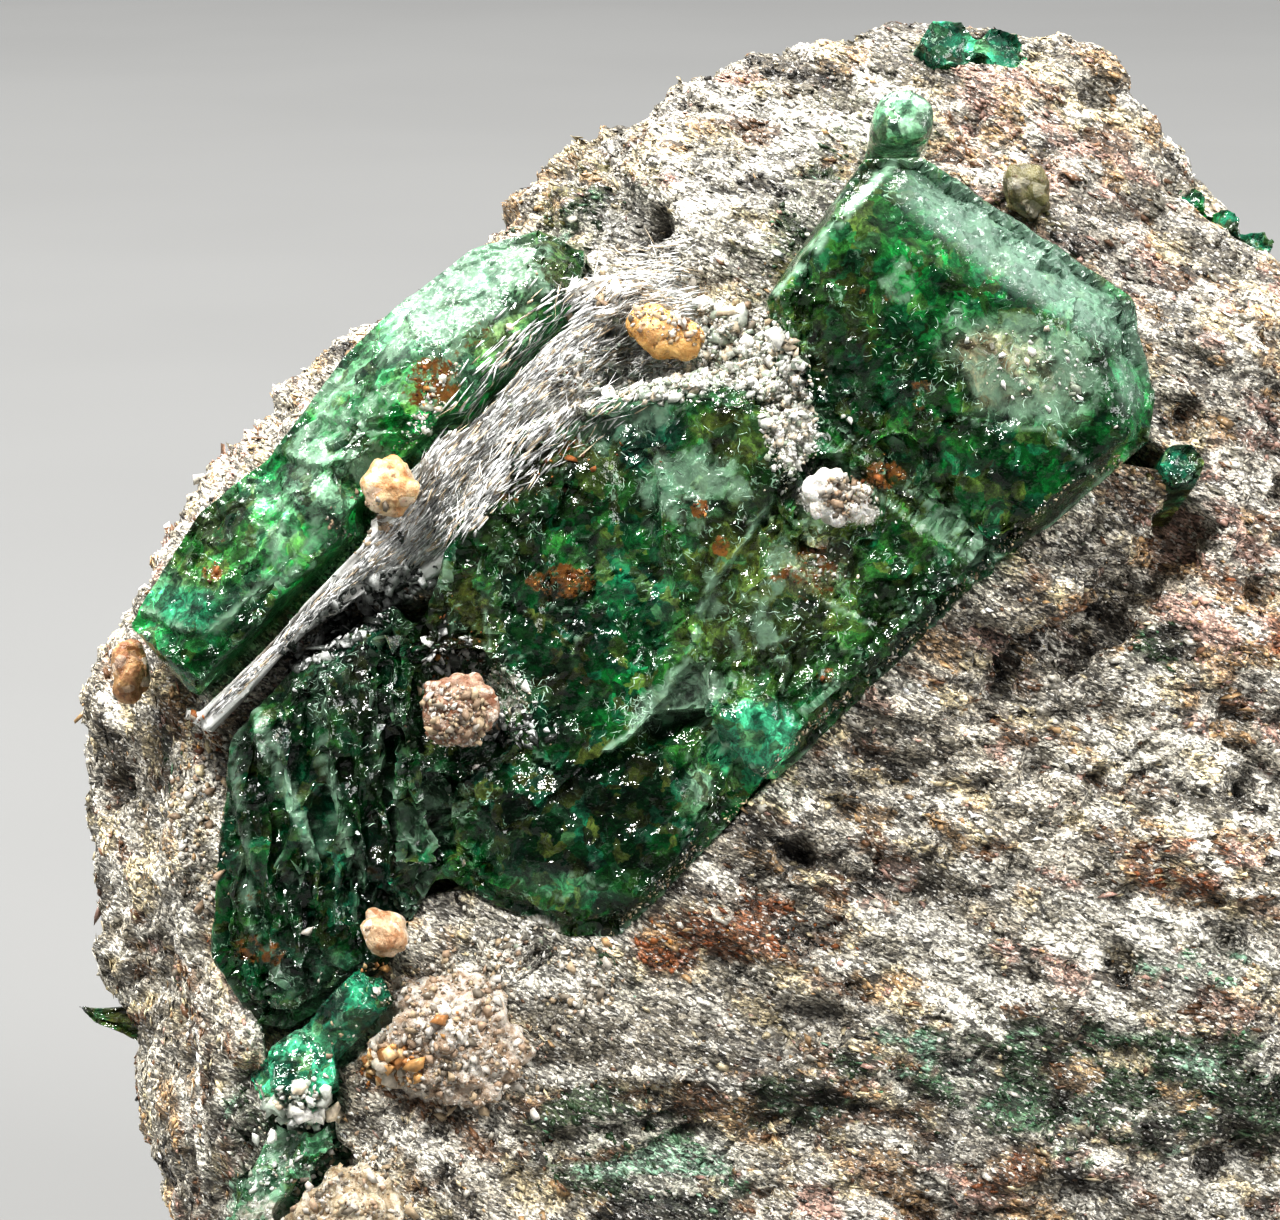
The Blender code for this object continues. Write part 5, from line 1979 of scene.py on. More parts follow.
SMALL_EMERALDS = (
    Emerald(
        "emerald_cluster_crystals", "emerald_cluster", "emerald_deep",
        BerylFinish("cluster_emerald", 0.55, (0.25, 0.92, 0.6), 300.0, 0.6), BerylTint.CYAN, BerylTint.TEAL,
        0.11, False, 0.1, 0.05, 360, pale=(Patch(-7.9, -10.6, 1.2, 0.8, 0, 0.6),), shard=0.8, shine=1.1, edge_wear_and_highlight=1.0,
    ),
    Emerald(
        "emerald_foot_crystals", "emerald_foot", "emerald_pale",
        BerylFinish("foot_emerald", 0.5, (0.35, 0.92, 0.6), 300.0, 0.7), BerylTint.MINT, BerylTint.DEEP,
        0.12, False, 0.24, 0.14, 370, pale=(Patch(-9.0, -14.6, 1.6, 2.4),), shard=0.8,
        snow=(Patch(-9.4, -15.4, 0.9, 0.8, 0, 0.8),),
    ),
    RoundedEmerald(
        "emerald_crest_crystal", "emerald_crest", "emerald_pale",
        BerylFinish("crest_emerald", 0.6, (0.5, 0.95, 0.7), 150.0, 0.8, 0.4), BerylTint.PALE, BerylTint.MINT,
        0.13, False, 0.08, 0.03, 380,
    ),
    Emerald(
        "emerald_peak_crystals", "emerald_peak", "emerald_deep",
        BerylFinish("peak_emerald", 0.5, (0.2, 0.9, 0.5), 300.0), BerylTint.CYAN, BerylTint.TEAL,
        0.12, False, 0.22, 0.12, 390, snow=(Patch(8.6, 13.6, 2.0, 0.5, 0, 0.8),), shard=0.7,
    ),
    Emerald(
        "emerald_rim_crystals", "emerald_rim", "emerald_deep",
        BerylFinish("rim_emerald", 0.5, (0.15, 0.85, 0.5), 400.0), BerylTint.TEAL, BerylTint.DEEP,
        0.12, False, 0.16, 0.1, 400, shard=0.7,
    ),
    TaperedEmerald(
        "emerald_spur_crystal", "emerald_spur", "emerald_olive",
        BerylFinish("spur_emerald", 0.5, (0.4, 0.7, 0.35), 260.0, 0.3), BerylTint.OLIVE, BerylTint.DEEP,
        0.11, False, 0.12, 0.08, 410, tip=(-1.0, 0.15),
    ),
    Emerald(
        "emerald_side_crystal", "emerald_side", "emerald_olive",
        BerylFinish("side_emerald", 0.5, (0.45, 0.75, 0.5), 300.0, 0.5), BerylTint.TEAL, BerylTint.OLIVE,
        0.12, False, 0.16, 0.1, 420, shard=0.7,
    ),
)


# ---- the silky band, the grains and the crusts --------------------------------------------


@dataclass
class SilkyBand:
    """The band of mica sheets between the two prisms, frayed along its run."""

    name: str = "silky_mica_band"
    node: str = "mica_ribbon"
    slot: str = "silky_mica"
    voxel: float = 0.13
    run: tuple[tuple[float, float], ...] = (
        (-11.6, -3.2), (-7.4, 1.2), (-6.0, 2.2), (-5.0, 3.9), (-2.9, 6.1), (-1.0, 7.8), (0.8, 8.2),
    )
    fray: float = 0.2
    wide_right: float = 2.6
    wide_left: float = 0.35
    wide_from: tuple[float, float] = (3.6, 9.0)
    wide_until: float = 12.5

    def along(self, points: Array) -> tuple[Array, Array, Array]:
        """Measure each point's place along the band and across it.

        Args:
            points: Rows of u, v, w.

        Returns:
            Millimetres along the run, millimetres to its left, and the way to its left.
        """
        run = np.array(self.run)
        best = np.full(len(points), 99.0)
        reach, side = np.zeros(len(points)), np.zeros(len(points))
        left = np.zeros((len(points), 2))
        start = 0.0
        for tail, head in zip(run[:-1], run[1:]):
            length = float(np.hypot(*(head - tail)))
            way = (head - tail) / length
            offset = points[:, :2] - tail
            travel = np.clip(offset @ way, 0.0, length)
            away = np.linalg.norm(offset - travel[:, None] * way, axis=1)
            nearer = away < best
            best = np.where(nearer, away, best)
            reach = np.where(nearer, start + travel, reach)
            side = np.where(nearer, way[0] * offset[:, 1] - way[1] * offset[:, 0], side)
            left = np.where(nearer[:, None], (-way[1], way[0]), left)
            start += length
        return reach, side, left

    def widened(self, shell: Shell) -> Shell:
        """Widen the band until it meets both prisms.

        Args:
            shell: The band as it was cut.

        Returns:
            The wide band.
        """
        reach, side, left = self.along(shell.points)
        middle = smooth(*self.wide_from, reach) * smooth(self.wide_until + 2.5, self.wide_until, reach)
        grow = np.where(side < 0.0, 1.0 + self.wide_right * middle, 1.0 + self.wide_left * middle)
        moved = (side * (grow - 1.0))[:, None] * left
        points = shell.points + np.column_stack([moved, 0.5 * np.minimum(side * (grow - 1.0), 0.0)])
        return Shell(points, shell.faces, {}).remeshed(self.voxel)

    def build(self) -> Piece:
        """Fray the band into sheets.

        Returns:
            The piece.
        """
        shell = self.widened(Shell.of_node(self.node).remeshed(self.voxel))
        reach, side, _ = self.along(shell.points)
        w = shell.points[:, 2]
        sheet = fractal(np.stack([reach / 4.0, side * 4.5, w / 0.6], 1), 1.0, 3, 51, 0.7)
        fibre = fractal(np.stack([(reach + side * 1.2) * 3.4, (side - reach * 0.3), w], 1), 1.0, 3, 53)
        height = self.fray * (0.9 * sheet + 0.5 * fibre * smooth(0.0, 0.5, side) - 0.5)
        shell = shell.pushed(height)
        shell.values = {"sheet": 0.5 + 0.5 * np.clip(sheet * 1.4 + 0.3 * fibre, -1.0, 1.0)}
        return shell.piece(self.name, SilkyFinish().make(), 60.0).settle(self.slot, self.node)


@dataclass
class Grain:
    """One grain of another mineral: lumpy, pitted, waxy."""

    name: str
    node: str
    slot: str
    finish: FeldsparFinish
    lump: float = 0.16
    voxel: float = 0.1
    seed: int = 500
    knob: float = 0.55

    def build(self) -> Piece:
        """Lump and pit the grain.

        Returns:
            The piece.
        """
        shell = Shell.of_node(self.node).remeshed(self.voxel)
        lumps = Cells(shell.points / self.knob, self.seed)
        height = self.lump * (0.5 - 1.3 * lumps.first ** 2 + 0.6 * (lumps.chance() - 0.5))
        height += 0.7 * self.lump * fractal(shell.points, 0.5, 3, self.seed + 5, 0.65)
        shell = shell.pushed(height)
        return shell.piece(self.name, self.finish.make(), 60.0).settle(self.slot, self.node)


WHITE = (0.62, 0.58, 0.52)
GRAINS = (
    Grain("white_granular_lump", "white_lump", "white_feldspar",
          FeldsparFinish("white_feldspar_lump", WHITE, (0.34, 0.24, 0.16), 5.5, 0.5), 0.26, 0.11, 510, 0.42),
    Grain("cream_granular_lump", "cream_lump", "white_feldspar",
          FeldsparFinish("cream_feldspar_lump", (0.62, 0.55, 0.42), (0.28, 0.20, 0.11), 5.0, 0.5), 0.26, 0.12, 520, 0.45),
    Grain("snow_white_lump", "snow_lump", "white_feldspar",
          FeldsparFinish("snow_feldspar", (0.80, 0.78, 0.74), (0.46, 0.44, 0.38), 5.0, 0.45), 0.34, 0.09, 530, 0.4),
    Grain("tan_feldspar_grain", "tan_grain", "white_feldspar",
          FeldsparFinish("tan_feldspar", (0.62, 0.46, 0.30), (0.36, 0.18, 0.08), 3.6, 0.45), 0.16, 0.09, 540),
    Grain("pink_porous_grain", "pink_grain", "white_feldspar",
          FeldsparFinish("pink_feldspar", (0.44, 0.31, 0.23), (0.20, 0.075, 0.03), 7.0, 0.5), 0.11, 0.08, 550, 0.3),
    Grain("orange_feldspar_grain", "orange_grain", "orange_feldspar",
          FeldsparFinish("orange_feldspar_wax", (0.72, 0.46, 0.18), (0.55, 0.29, 0.09), 1.6, 0.3, 0.3, 0.4),
          0.24, 0.09, 560, 0.75),
    Grain("peach_feldspar_grain", "peach_grain", "orange_feldspar",
          FeldsparFinish("peach_feldspar", (0.72, 0.54, 0.32), (0.46, 0.22, 0.08), 2.4, 0.35, 0.4, 0.3),
          0.2, 0.09, 570, 0.8),
    Grain("left_feldspar_grain", "left_grain", "orange_feldspar",
          FeldsparFinish("left_feldspar", (0.52, 0.32, 0.15), (0.24, 0.10, 0.04), 3.0, 0.45), 0.14, 0.1, 580),
    Grain("olive_mica_grain", "olive_grain", "olive_mica",
          FeldsparFinish("olive_mica_book", (0.20, 0.18, 0.08), (0.06, 0.05, 0.02), 3.0, 0.3, 0.2), 0.16, 0.1, 590),
)


@dataclass
class Crust:
    """Crumbs of one mineral lying in patches on the crystals and the rock."""

    name: str
    slot: str
    finish: FlakeFinish
    colours: tuple[tuple[float, float, float], ...]
    patches: tuple[tuple[Patch, int], ...]
    size: tuple[float, float]
    flat: float
    rim: int = 5
    sink: float = 0.15
    seed: int = 600
    gaps: float = -0.1
    on_grains: bool = False
    heap: float = 0.0

    def lay(self, ground: Surface) -> Piece:
        """Drop the crumbs on the ground and join them.

        Args:
            ground: What they lie on.

        Returns:
            The piece.
        """
        rng = np.random.default_rng(self.seed)
        spots = []
        for patch, count in self.patches:
            angle = rng.uniform(0.0, 2.0 * math.pi, count)
            reach = np.sqrt(rng.random(count)) * (1.0 + 0.25 * rng.normal(0.0, 1.0, count) ** 3 * 0.3)
            c, s = math.cos(math.radians(patch.turn)), math.sin(math.radians(patch.turn))
            a, b = patch.reach_u * reach * np.cos(angle), patch.reach_v * reach * np.sin(angle)
            spots.append(np.stack([patch.u + a * c - b * s, patch.v + a * s + b * c], 1))
        place, out, landed = ground.drop(np.vstack(spots))
        landed &= fractal(place, 0.55, 3, self.seed + 7) > self.gaps
        which = np.repeat(np.arange(len(self.patches)), [number for _, number in self.patches])[landed]
        place, out = place[landed], out[landed]
        count = len(place)
        size = rng.uniform(*self.size, (count, 1)) * (0.55 + 1.9 * rng.random((count, 1)) ** 4)
        size = size * np.stack([rng.uniform(1.0, 1.6, count), rng.uniform(0.7, 1.0, count), np.full(count, self.flat)], 1)
        place = place + out * (size[:, 2:3] * (0.5 - self.sink))
        for index in range(len(self.patches)):
            here = which == index
            if self.heap and here.any():
                brim = np.percentile(place[here, 2], 70)
                place[here, 2] += rng.random(here.sum()) * np.clip(brim - place[here, 2], 0.0, self.heap)
        chip = Chip(self.rim)
        lay = chip.strewn(
            place, out + rng.normal(0.0, 0.45, (count, 3)), rng.normal(0.0, 1.0, (count, 3)), size, self.seed + 1
        )
        tint = np.array(self.colours)[rng.integers(0, len(self.colours), count)]
        tint = tint * rng.uniform(0.8, 1.12, (count, 1))
        lay.values["tint"] = chip.spread_value(np.clip(tint, 0.0, 0.92))
        return lay.piece(self.name, self.finish.make()).settle(self.slot)


SNOW_MOUND = Crust(
    "snow_mound_lumps", "white_feldspar", FlakeFinish("snow_mound_crystals", 0.4, 0.5, 6.0),
    ((0.84, 0.82, 0.77), (0.70, 0.69, 0.63), (0.58, 0.60, 0.54), (0.70, 0.60, 0.46), (0.44, 0.50, 0.42)),
    (
        (Patch(0.9, 7.3, 2.1, 0.7, -14), 460), (Patch(3.4, 5.9, 0.7, 1.2, 10), 240),
        (Patch(0.6, 5.9, 1.9, 0.6, 8), 800), (Patch(-1.4, 6.2, 1.3, 0.35, 38), 160),
        (Patch(-8.5, -12.5, 0.7, 0.7), 160),
    ),
    (0.13, 0.33), 0.75, 6, 0.2, 605, -0.5, False, 1.6,
)
CRUSTS = (
    Crust(
        "snow_crumbs", "white_feldspar", FlakeFinish("snow_crumb_crystals", 0.4, 0.55, 7.0),
        ((0.86, 0.84, 0.80), (0.74, 0.73, 0.68), (0.56, 0.57, 0.52), (0.66, 0.58, 0.46), (0.32, 0.36, 0.28)),
        (
            (Patch(1.4, 6.6, 2.6, 1.1, -22), 2500), (Patch(3.7, 4.8, 0.7, 1.8, 8), 1300),
            (Patch(-0.6, 5.6, 3.0, 0.5, 12), 700), (Patch(-9.2, -14.4, 0.9, 2.0), 260),
            (Patch(-1.5, 5.7, 1.7, 0.6, 38), 1000), (Patch(4.9, 2.7, 1.2, 0.5, -12), 420),
            (Patch(4.2, 1.1, 1.0, 0.6), 110), (Patch(-3.6, -2.2, 1.1, 0.9, -40), 220),
            (Patch(-5.4, 4.9, 1.6, 0.3, 55), 200), (Patch(9.6, 6.1, 1.7, 0.9, -20), 110),
            (Patch(-3.0, -8.4, 1.3, 0.7), 200),
        ),
        (0.04, 0.14), 0.6, 5, 0.25, 610,
    ),
    Crust(
        "lump_granules", "white_feldspar", FlakeFinish("feldspar_granules", 0.5, 0.45, 6.0),
        (WHITE, (0.52, 0.48, 0.42), (0.36, 0.26, 0.18), (0.46, 0.36, 0.24), (0.20, 0.17, 0.13)),
        (
            (Patch(-4.8, -10.8, 2.4, 1.8, -12), 1500), (Patch(-7.2, -15.4, 1.6, 2.0), 800),
            (Patch(-11.4, -5.6, 0.9, 2.2), 420), (Patch(-6.9, 2.2, 1.0, 0.8), 160),
            (Patch(-2.6, -9.2, 2.4, 0.9, -10), 420), (Patch(5.1, 2.85, 0.62, 0.5), 260),
            (Patch(-4.6, -2.7, 0.95, 0.85), 420), (Patch(0.9, 7.7, 2.2, 0.9, -14), 800),
        ),
        (0.05, 0.17), 0.7, 5, 0.3, 620, -0.3, True,
    ),
    Crust(
        "rust_crumbs", "orange_feldspar", FlakeFinish("rusty_crumbs", 0.55, 0.4, 8.0),
        ((0.30, 0.11, 0.03), (0.20, 0.07, 0.02), (0.42, 0.21, 0.06), (0.10, 0.04, 0.02)),
        (
            (Patch(-1.8, 0.75, 0.9, 0.25, 8), 80), (Patch(4.6, -1.6, 0.2, 0.2), 22), (Patch(1.5, 2.5, 0.2, 0.2), 14),
            (Patch(4.4, 1.0, 0.8, 0.5), 50), (Patch(-5.2, 5.7, 0.5, 0.6), 60), (Patch(-10.8, 0.95, 0.25, 0.25), 22),
            (Patch(3.4, -8.1, 1.8, 0.6, -8), 100), (Patch(-6.7, -11.5, 0.5, 0.6), 90), (Patch(-1.8, 5.9, 0.3, 0.2), 24),
            (Patch(-11.2, -3.4, 0.5, 0.7), 60), (Patch(0.6, -8.3, 0.5, 0.8), 60), (Patch(-1.9, 3.6, 1.4, 0.6, 20), 60),
            (Patch(-4.5, -1.0, 1.0, 1.0), 60), (Patch(5.8, 3.4, 0.7, 0.5), 30),
        ),
        (0.05, 0.15), 0.6, 5, 0.25, 630,
    ),
    Crust(
        "silver_nest_flakes", "silky_mica", FlakeFinish("silver_nest_mica", 0.25, 0.8, 8.0),
        ((0.80, 0.81, 0.79), (0.50, 0.51, 0.49), (0.12, 0.13, 0.12), (0.03, 0.035, 0.03)),
        ((Patch(-7.3, -0.1, 2.1, 0.7, 36), 800), (Patch(-4.8, -1.2, 0.9, 0.6), 140), (Patch(-3.2, -2.9, 1.0, 0.5), 120)),
        (0.1, 0.28), 0.16, 5, 0.1, 650, -0.35,
    ),
    Crust(
        "orange_lump_grains", "orange_feldspar", FlakeFinish("orange_lump_feldspar", 0.4, 0.5, 5.0),
        ((0.60, 0.34, 0.13), (0.66, 0.46, 0.25), (0.42, 0.20, 0.07), (0.62, 0.55, 0.45)),
        ((Patch(-6.2, -11.4, 0.75, 0.5, -20), 150), (Patch(-4.9, -10.2, 0.5, 0.4), 14), (Patch(-6.7, -9.0, 0.4, 0.3), 10)),
        (0.12, 0.3), 0.8, 6, 0.25, 660, -0.6, True,
    ),
    Crust(
        "cream_rim_crumbs", "white_feldspar", FlakeFinish("cream_rim_crystals", 0.45, 0.5, 7.0),
        ((0.50, 0.40, 0.26), (0.58, 0.51, 0.38), (0.28, 0.20, 0.12), (0.44, 0.42, 0.37)),
        (
            (Patch(1.2, -6.2, 2.9, 0.13, 45), 300), (Patch(5.0, -2.3, 2.9, 0.13, 41), 300),
            (Patch(8.9, 1.4, 2.6, 0.13, 45), 240), (Patch(12.2, 3.8, 1.2, 0.2, 20), 90),
        ),
        (0.03, 0.08), 0.4, 5, 0.2, 640, -0.3,
    ),
)


@dataclass
class Threads:
    """Fine bright cracks that curl over the crystals in clusters, each a closed thread, their pale tint partly painted
    glint.
    """

    name: str = "emerald_crack_and_glint_threads"
    slot: str = "emerald_pale"
    seed: int = 700
    beads: int = 4
    sides: int = 3
    cluster: float = 1.3
    patches: tuple[tuple[Patch, int], ...] = (
        (Patch(-0.6, 0.8, 3.2, 3.8), 190), (Patch(3.6, 0.6, 2.0, 3.0, -35), 150),
        (Patch(6.0, 5.6, 2.2, 2.0), 80), (Patch(9.4, 6.0, 2.0, 1.4, -25), 110),
        (Patch(-7.4, -1.0, 2.2, 1.2, 40), 160), (Patch(-7.6, -5.6, 2.2, 3.8, 15), 60),
        (Patch(-4.8, 7.4, 2.4, 1.2, 42), 60), (Patch(-9.0, 2.2, 2.6, 1.2, 45), 60), (Patch(-8.6, -12.6, 1.8, 3.6), 90),
        (Patch(-0.6, -2.6, 2.2, 1.0), 110), (Patch(-3.4, -2.2, 1.4, 1.2), 150), (Patch(0.8, -2.3, 1.2, 0.5, 28), 90),
    )

    def lay(self, ground: Surface) -> Piece:
        """Curl the threads over the crystals.

        Args:
            ground: The crystals.

        Returns:
            The piece.
        """
        rng = np.random.default_rng(self.seed)
        spots = []
        for patch, count in self.patches:
            spot = rng.uniform(-1.0, 1.0, (3 * count, 2)) * (patch.reach_u, patch.reach_v)
            c, s = math.cos(math.radians(patch.turn)), math.sin(math.radians(patch.turn))
            spot = spot @ np.array(((c, s), (-s, c))) + (patch.u, patch.v)
            flat = np.column_stack([spot, np.zeros(len(spot))])
            dense = Cells(flat / self.cluster + 0.3 * fractal(flat, 1.0, 3, self.seed)[:, None], self.seed).chance()
            spots.append(spot[dense > 0.6][:count])
        start = np.vstack(spots)
        count = len(start)
        turn = rng.uniform(0.0, 2.0 * math.pi, count)
        stride = rng.uniform(0.02, 0.08, count) * rng.choice((1.0, 1.0, 1.8), count)
        path = [start]
        for _ in range(self.beads - 1):
            turn = turn + rng.normal(0.0, 0.5, count)
            path.append(path[-1] + stride[:, None] * np.stack([np.cos(turn), np.sin(turn)], 1))
        place, out, landed = ground.drop(np.vstack(path))
        whole = landed.reshape(self.beads, count).all(axis=0)
        place = place.reshape(self.beads, count, 3)[:, whole]
        out = out.reshape(self.beads, count, 3)[:, whole]
        level = np.ptp(place[:, :, 2], axis=0) < 0.35
        place, out = place[:, level], out[:, level]
        count = place.shape[1]
        way = unit(np.gradient(place, axis=0).reshape(-1, 3)).reshape(place.shape)
        side = unit(np.cross(out.reshape(-1, 3), way.reshape(-1, 3))).reshape(place.shape)
        girth = rng.uniform(0.007, 0.02, count) * rng.choice((1.0, 1.0, 1.7), count)
        taper = np.sin(np.linspace(0.15, math.pi - 0.15, self.beads))
        rings = []
        for k in range(self.sides):
            angle = 2.0 * math.pi * k / self.sides + math.pi / 2.0
            reach = (taper[:, None] * girth)[:, :, None]
            rings.append(place + reach * (math.cos(angle) * side + 0.7 * math.sin(angle) * out))
        points = np.stack(rings, axis=2).transpose(1, 0, 2, 3).reshape(-1, 3)
        faces = []
        for bead in range(self.beads - 1):
            for k in range(self.sides):
                a, b = bead * self.sides + k, bead * self.sides + (k + 1) % self.sides
                faces += [(a, b, b + self.sides), (a, b + self.sides, a + self.sides)]
        last = (self.beads - 1) * self.sides
        faces += [(0, 2, 1), (last, last + 1, last + 2)]
        pitch = self.beads * self.sides
        every = (np.arange(count)[:, None, None] * pitch + np.array(faces)[None]).reshape(-1, 3)
        # Pale tint: partly real cracks, partly painted glint.
        tint = np.array((0.62, 0.84, 0.68)) * rng.uniform(0.2, 1.1, (count, 1))
        lay = Shell(points, every, {"tint": np.repeat(np.clip(tint, 0.0, 0.92), pitch, axis=0)})
        return lay.piece(self.name, FlakeFinish("crack_and_glint_silver", 0.16, 0.8, 6.0).make(), 60.0).settle(self.slot)


@dataclass
class BandFibres:
    """Loose silver mica lying along the silky band, from prism to prism."""

    name: str = "silky_mica_fibres"
    slot: str = "silky_mica"
    count: int = 5800
    reach: float = 0.75
    seed: int = 800
    run: tuple[tuple[float, float], ...] = (
        (-10.6, -2.4), (-8.6, -0.4), (-7.0, 1.2), (-5.8, 2.4), (-4.9, 3.7), (-3.6, 5.2), (-2.2, 6.6), (-0.4, 7.9), (1.2, 8.0),
    )

    def lay(self, ground: Surface) -> Piece:
        """Lay the fibres on the band and beside it.

        Args:
            ground: The band, the crystals and the rock.

        Returns:
            The piece.
        """
        rng = np.random.default_rng(self.seed)
        run = np.array(self.run)
        share = rng.random(self.count) ** 0.85 * (len(run) - 1.001)
        leg = share.astype(int)
        way = run[leg + 1] - run[leg]
        way = way / np.linalg.norm(way, axis=1, keepdims=True)
        left = np.stack([-way[:, 1], way[:, 0]], 1)
        wide = self.reach * (0.12 + 1.6 * smooth(1.6, 7.0, share))
        spot = run[leg] + (share - leg)[:, None] * (run[leg + 1] - run[leg])
        bulge = smooth(1.4, 3.6, share) * smooth(8.5, 6.0, share)
        across = rng.normal(0.0, 0.55, self.count).clip(-1.2, 1.2) * wide
        across = across - bulge * rng.uniform(-0.2, 1.35, self.count)
        spot = spot + left * across[:, None]
        place, out, landed = ground.drop(spot)
        place, out, way = place[landed], out[landed], way[landed]
        count = len(place)
        along = np.column_stack([way, np.zeros(count)]) + rng.normal(0.0, 0.09, (count, 3))
        size = np.stack(
            [rng.uniform(0.3, 1.3, count), rng.uniform(0.03, 0.10, count), rng.uniform(0.012, 0.03, count)], 1
        )
        flat = out + rng.normal(0.0, 0.2, (count, 3))
        chip = Chip(5)
        lay = chip.strewn(place + out * rng.uniform(0.0, 0.06, (count, 1)), flat, along, size, self.seed + 1)
        shade = rng.choice((0.90, 0.80, 0.66, 0.44, 0.2), (count, 1), p=(0.38, 0.3, 0.17, 0.1, 0.05))
        warm = rng.random((count, 1)) < 0.16
        tint = np.where(warm, (0.80, 0.66, 0.48), (0.97, 0.97, 0.95)) * shade
        lay.values["tint"] = chip.spread_value(tint)
        return lay.piece(self.name, FlakeFinish("silver_mica_fibres", 0.28, 0.7, 8.0).make()).settle(self.slot)


# ---- the stage ----------------------------------------------------------------------------


@dataclass(frozen=True)
class Lamp:
    """One soft lamp: where it hangs, what it looks at, its size, its power and its warmth."""

    name: str
    place: tuple[float, float, float]
    width: float
    depth: float
    watts: float
    colour: tuple[float, float, float] = (1.0, 1.0, 1.0)

    def hang(self, target: Vector) -> None:
        """Hang the lamp.

        Args:
            target: The point it looks at.
        """
        light = bpy.data.lights.new(self.name, "AREA")
        light.shape = "RECTANGLE"
        light.size, light.size_y = self.width, self.depth
        light.energy = self.watts
        light.color = self.colour
        lamp = bpy.data.objects.new(self.name, light)
        lamp.location = self.place
        lamp.rotation_euler = (target - Vector(self.place)).to_track_quat("-Z", "Y").to_euler()
        bpy.context.scene.collection.objects.link(lamp)


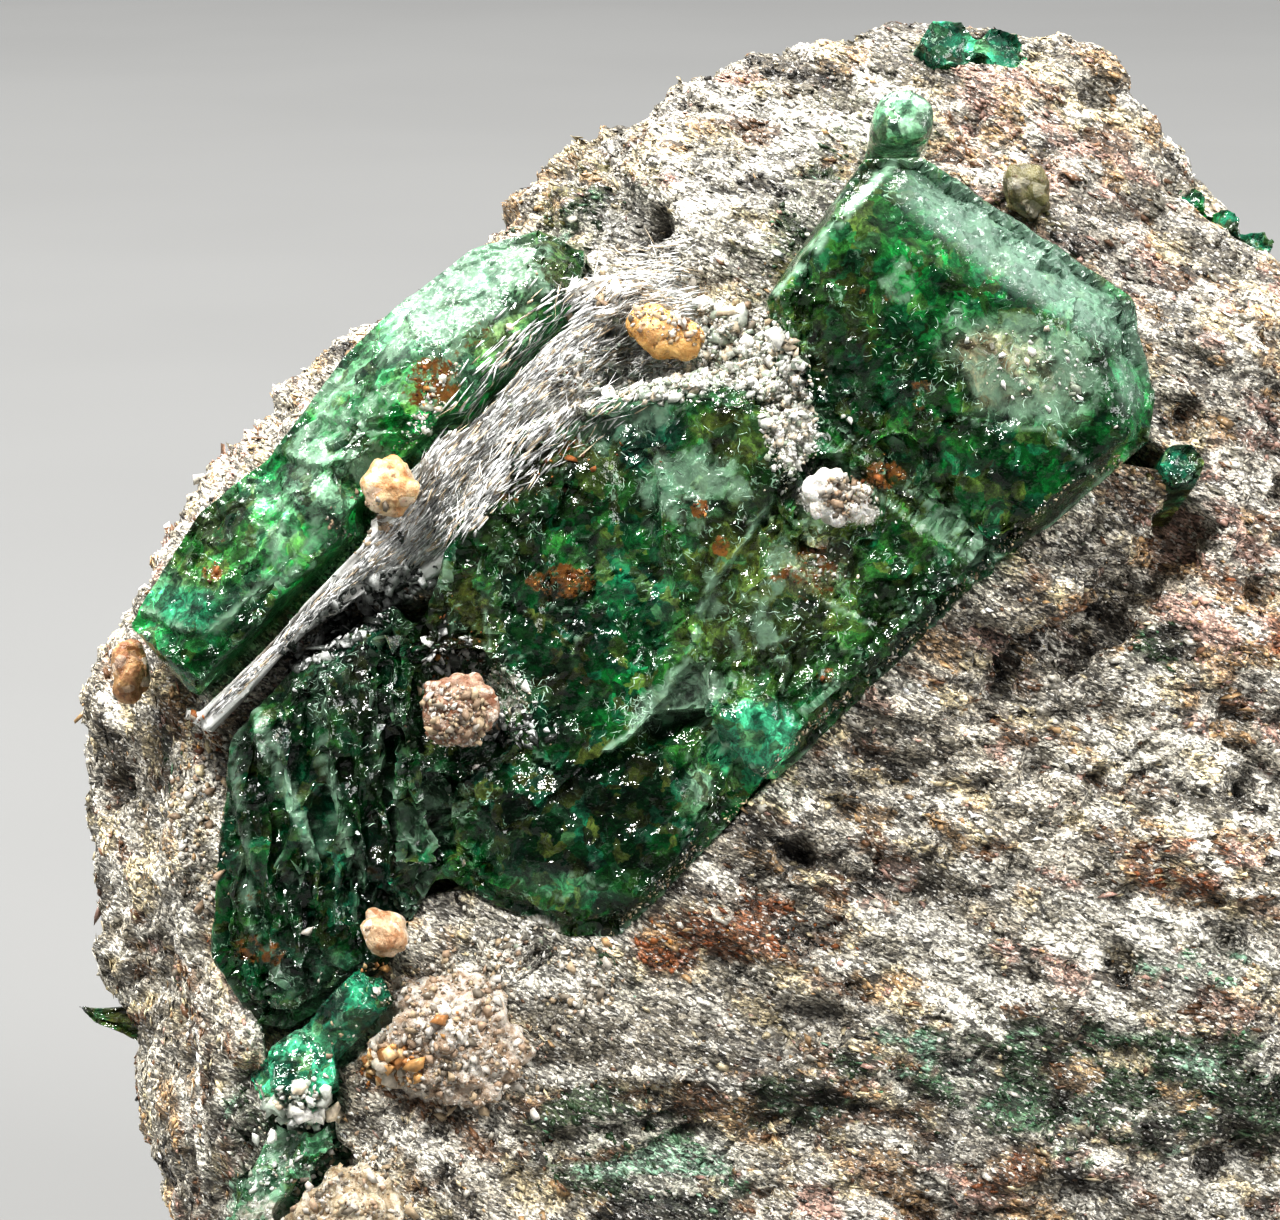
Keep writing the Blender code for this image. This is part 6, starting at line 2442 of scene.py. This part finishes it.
@dataclass
class Studio:
    """A pale floor, soft lamps and the camera in front of the leaning face."""

    floor_reach: float = 4.0
    sky: float = 1.0
    wall: float = 0.42
    viewer_side: float = 0.18
    view_away: float = 120.0
    view_width: float = 32.0
    film_width: float = 36.0
    gamma: float = 0.84
    exposure: float = 0.24
    bounces: int = 7
    soft_bounces: int = 2
    lamps: tuple[Lamp, ...] = (
        Lamp("overhead_softbox", (-0.16, 0.22, 0.78), 0.46, 0.36, 11.6, (1.0, 0.985, 0.96)),
        Lamp("front_softbox", (-0.16, -0.30, 0.50), 0.12, 0.12, 4.2, (1.0, 0.99, 0.97)),
        Lamp("right_fill", (0.46, -0.22, 0.30), 0.3, 0.3, 2.6, (1.0, 0.99, 0.98)),
    )

    def build(self) -> None:
        """Set the stage."""
        mesh = bpy.data.meshes.new("studio_floor")
        r = self.floor_reach
        corners = [(-r, -r, -1e-5), (r, -r, -1e-5), (r, r, -1e-5), (-r, r, -1e-5)]
        mesh.from_pydata(corners, [], [(0, 1, 2, 3)])
        mesh.materials.append(PaperFinish().make())
        floor = bpy.data.objects.new("studio_floor", mesh)
        bpy.context.scene.collection.objects.link(floor)
        self.light_room()
        target = Vector((FaceFrame.CENTRE * MM).tolist())
        for lamp in self.lamps:
            lamp.hang(target)
        lens = bpy.data.cameras.new("viewing_camera")
        lens.sensor_width = self.film_width
        lens.lens = self.film_width * self.view_away / self.view_width
        lens.clip_start, lens.clip_end = 0.005, 20.0
        camera = bpy.data.objects.new("viewing_camera", lens)
        camera.matrix_world = FaceFrame.matrix_at((0.0, 0.0, self.view_away))
        bpy.context.scene.collection.objects.link(camera)
        bpy.context.scene.camera = camera
        light_paths = bpy.context.scene.cycles
        light_paths.max_bounces, light_paths.transmission_bounces = self.bounces, self.bounces
        light_paths.diffuse_bounces, light_paths.glossy_bounces = self.soft_bounces, self.soft_bounces
        view = bpy.context.scene.view_settings
        view.view_transform = "Standard"
        view.gamma, view.exposure = self.gamma, self.exposure

    def light_room(self) -> None:
        """Give the room a bright ceiling that darkens towards the viewer's side."""
        world = bpy.data.worlds.new("soft_room")
        world.use_nodes = True
        tree = world.node_tree
        way = tree.nodes.new("ShaderNodeSeparateXYZ")
        tree.links.new(tree.nodes.new("ShaderNodeTexCoord").outputs["Generated"], way.inputs[0])
        high = tree.nodes.new("ShaderNodeMapRange")
        high.interpolation_type = "SMOOTHSTEP"
        for key, value in (("From Min", -0.1), ("From Max", 0.85), ("To Min", self.wall), ("To Max", self.sky)):
            high.inputs[key].default_value = value
        tree.links.new(way.outputs["Z"], high.inputs["Value"])
        near = tree.nodes.new("ShaderNodeMapRange")
        near.interpolation_type = "SMOOTHSTEP"
        for key, value in (("From Min", -0.95), ("From Max", -0.1), ("To Min", self.viewer_side), ("To Max", 1.0)):
            near.inputs[key].default_value = value
        tree.links.new(way.outputs["Y"], near.inputs["Value"])
        both = tree.nodes.new("ShaderNodeMath")
        both.operation = "MULTIPLY"
        tree.links.new(high.outputs[0], both.inputs[0])
        tree.links.new(near.outputs[0], both.inputs[1])
        back = tree.nodes["Background"]
        back.inputs["Color"].default_value = (0.97, 0.985, 1.0, 1.0)
        tree.links.new(both.outputs[0], back.inputs["Strength"])
        bpy.context.scene.world = world


# ---- the specimen -------------------------------------------------------------------------


def specimen() -> None:
    """Build every piece of the specimen in order, and the stage round it."""
    Studio().build()
    emeralds = (MAIN_EMERALD, EDGE_EMERALD, *SMALL_EMERALDS)
    set_in = [e.node for e in emeralds] + [g.node for g in GRAINS] + [SilkyBand.node]
    skin = RockSkin(crystals=tuple(set_in)).build()
    skin.piece("schist_matrix", SchistFinish().make(), 180.0).settle(ROCK_SLOT, ROCK)
    pieces = [emerald.build() for emerald in emeralds]
    pieces.append(SilkyBand().build())
    pieces += [grain.build() for grain in GRAINS]
    for coat in COATS:
        coat.lay(skin)
    shells = [Shell.of_mesh(piece.thing.data, row_frame=True) for piece in pieces]
    mound = SNOW_MOUND.lay(Surface(*shells[: len(emeralds) + 1], skin))
    heap = Shell.of_mesh(mound.thing.data, row_frame=True)
    bare = Surface(*shells[: len(emeralds) + 1], skin, heap)
    lumps = Surface(*shells, skin)
    for crust in CRUSTS:
        crust.lay(lumps if crust.on_grains else bare)
    BandFibres().lay(bare)
    Threads().lay(Surface(*shells[: len(emeralds)]))


if __name__ == "__main__":
    logging.basicConfig(level=logging.INFO, format="%(message)s")
    specimen()
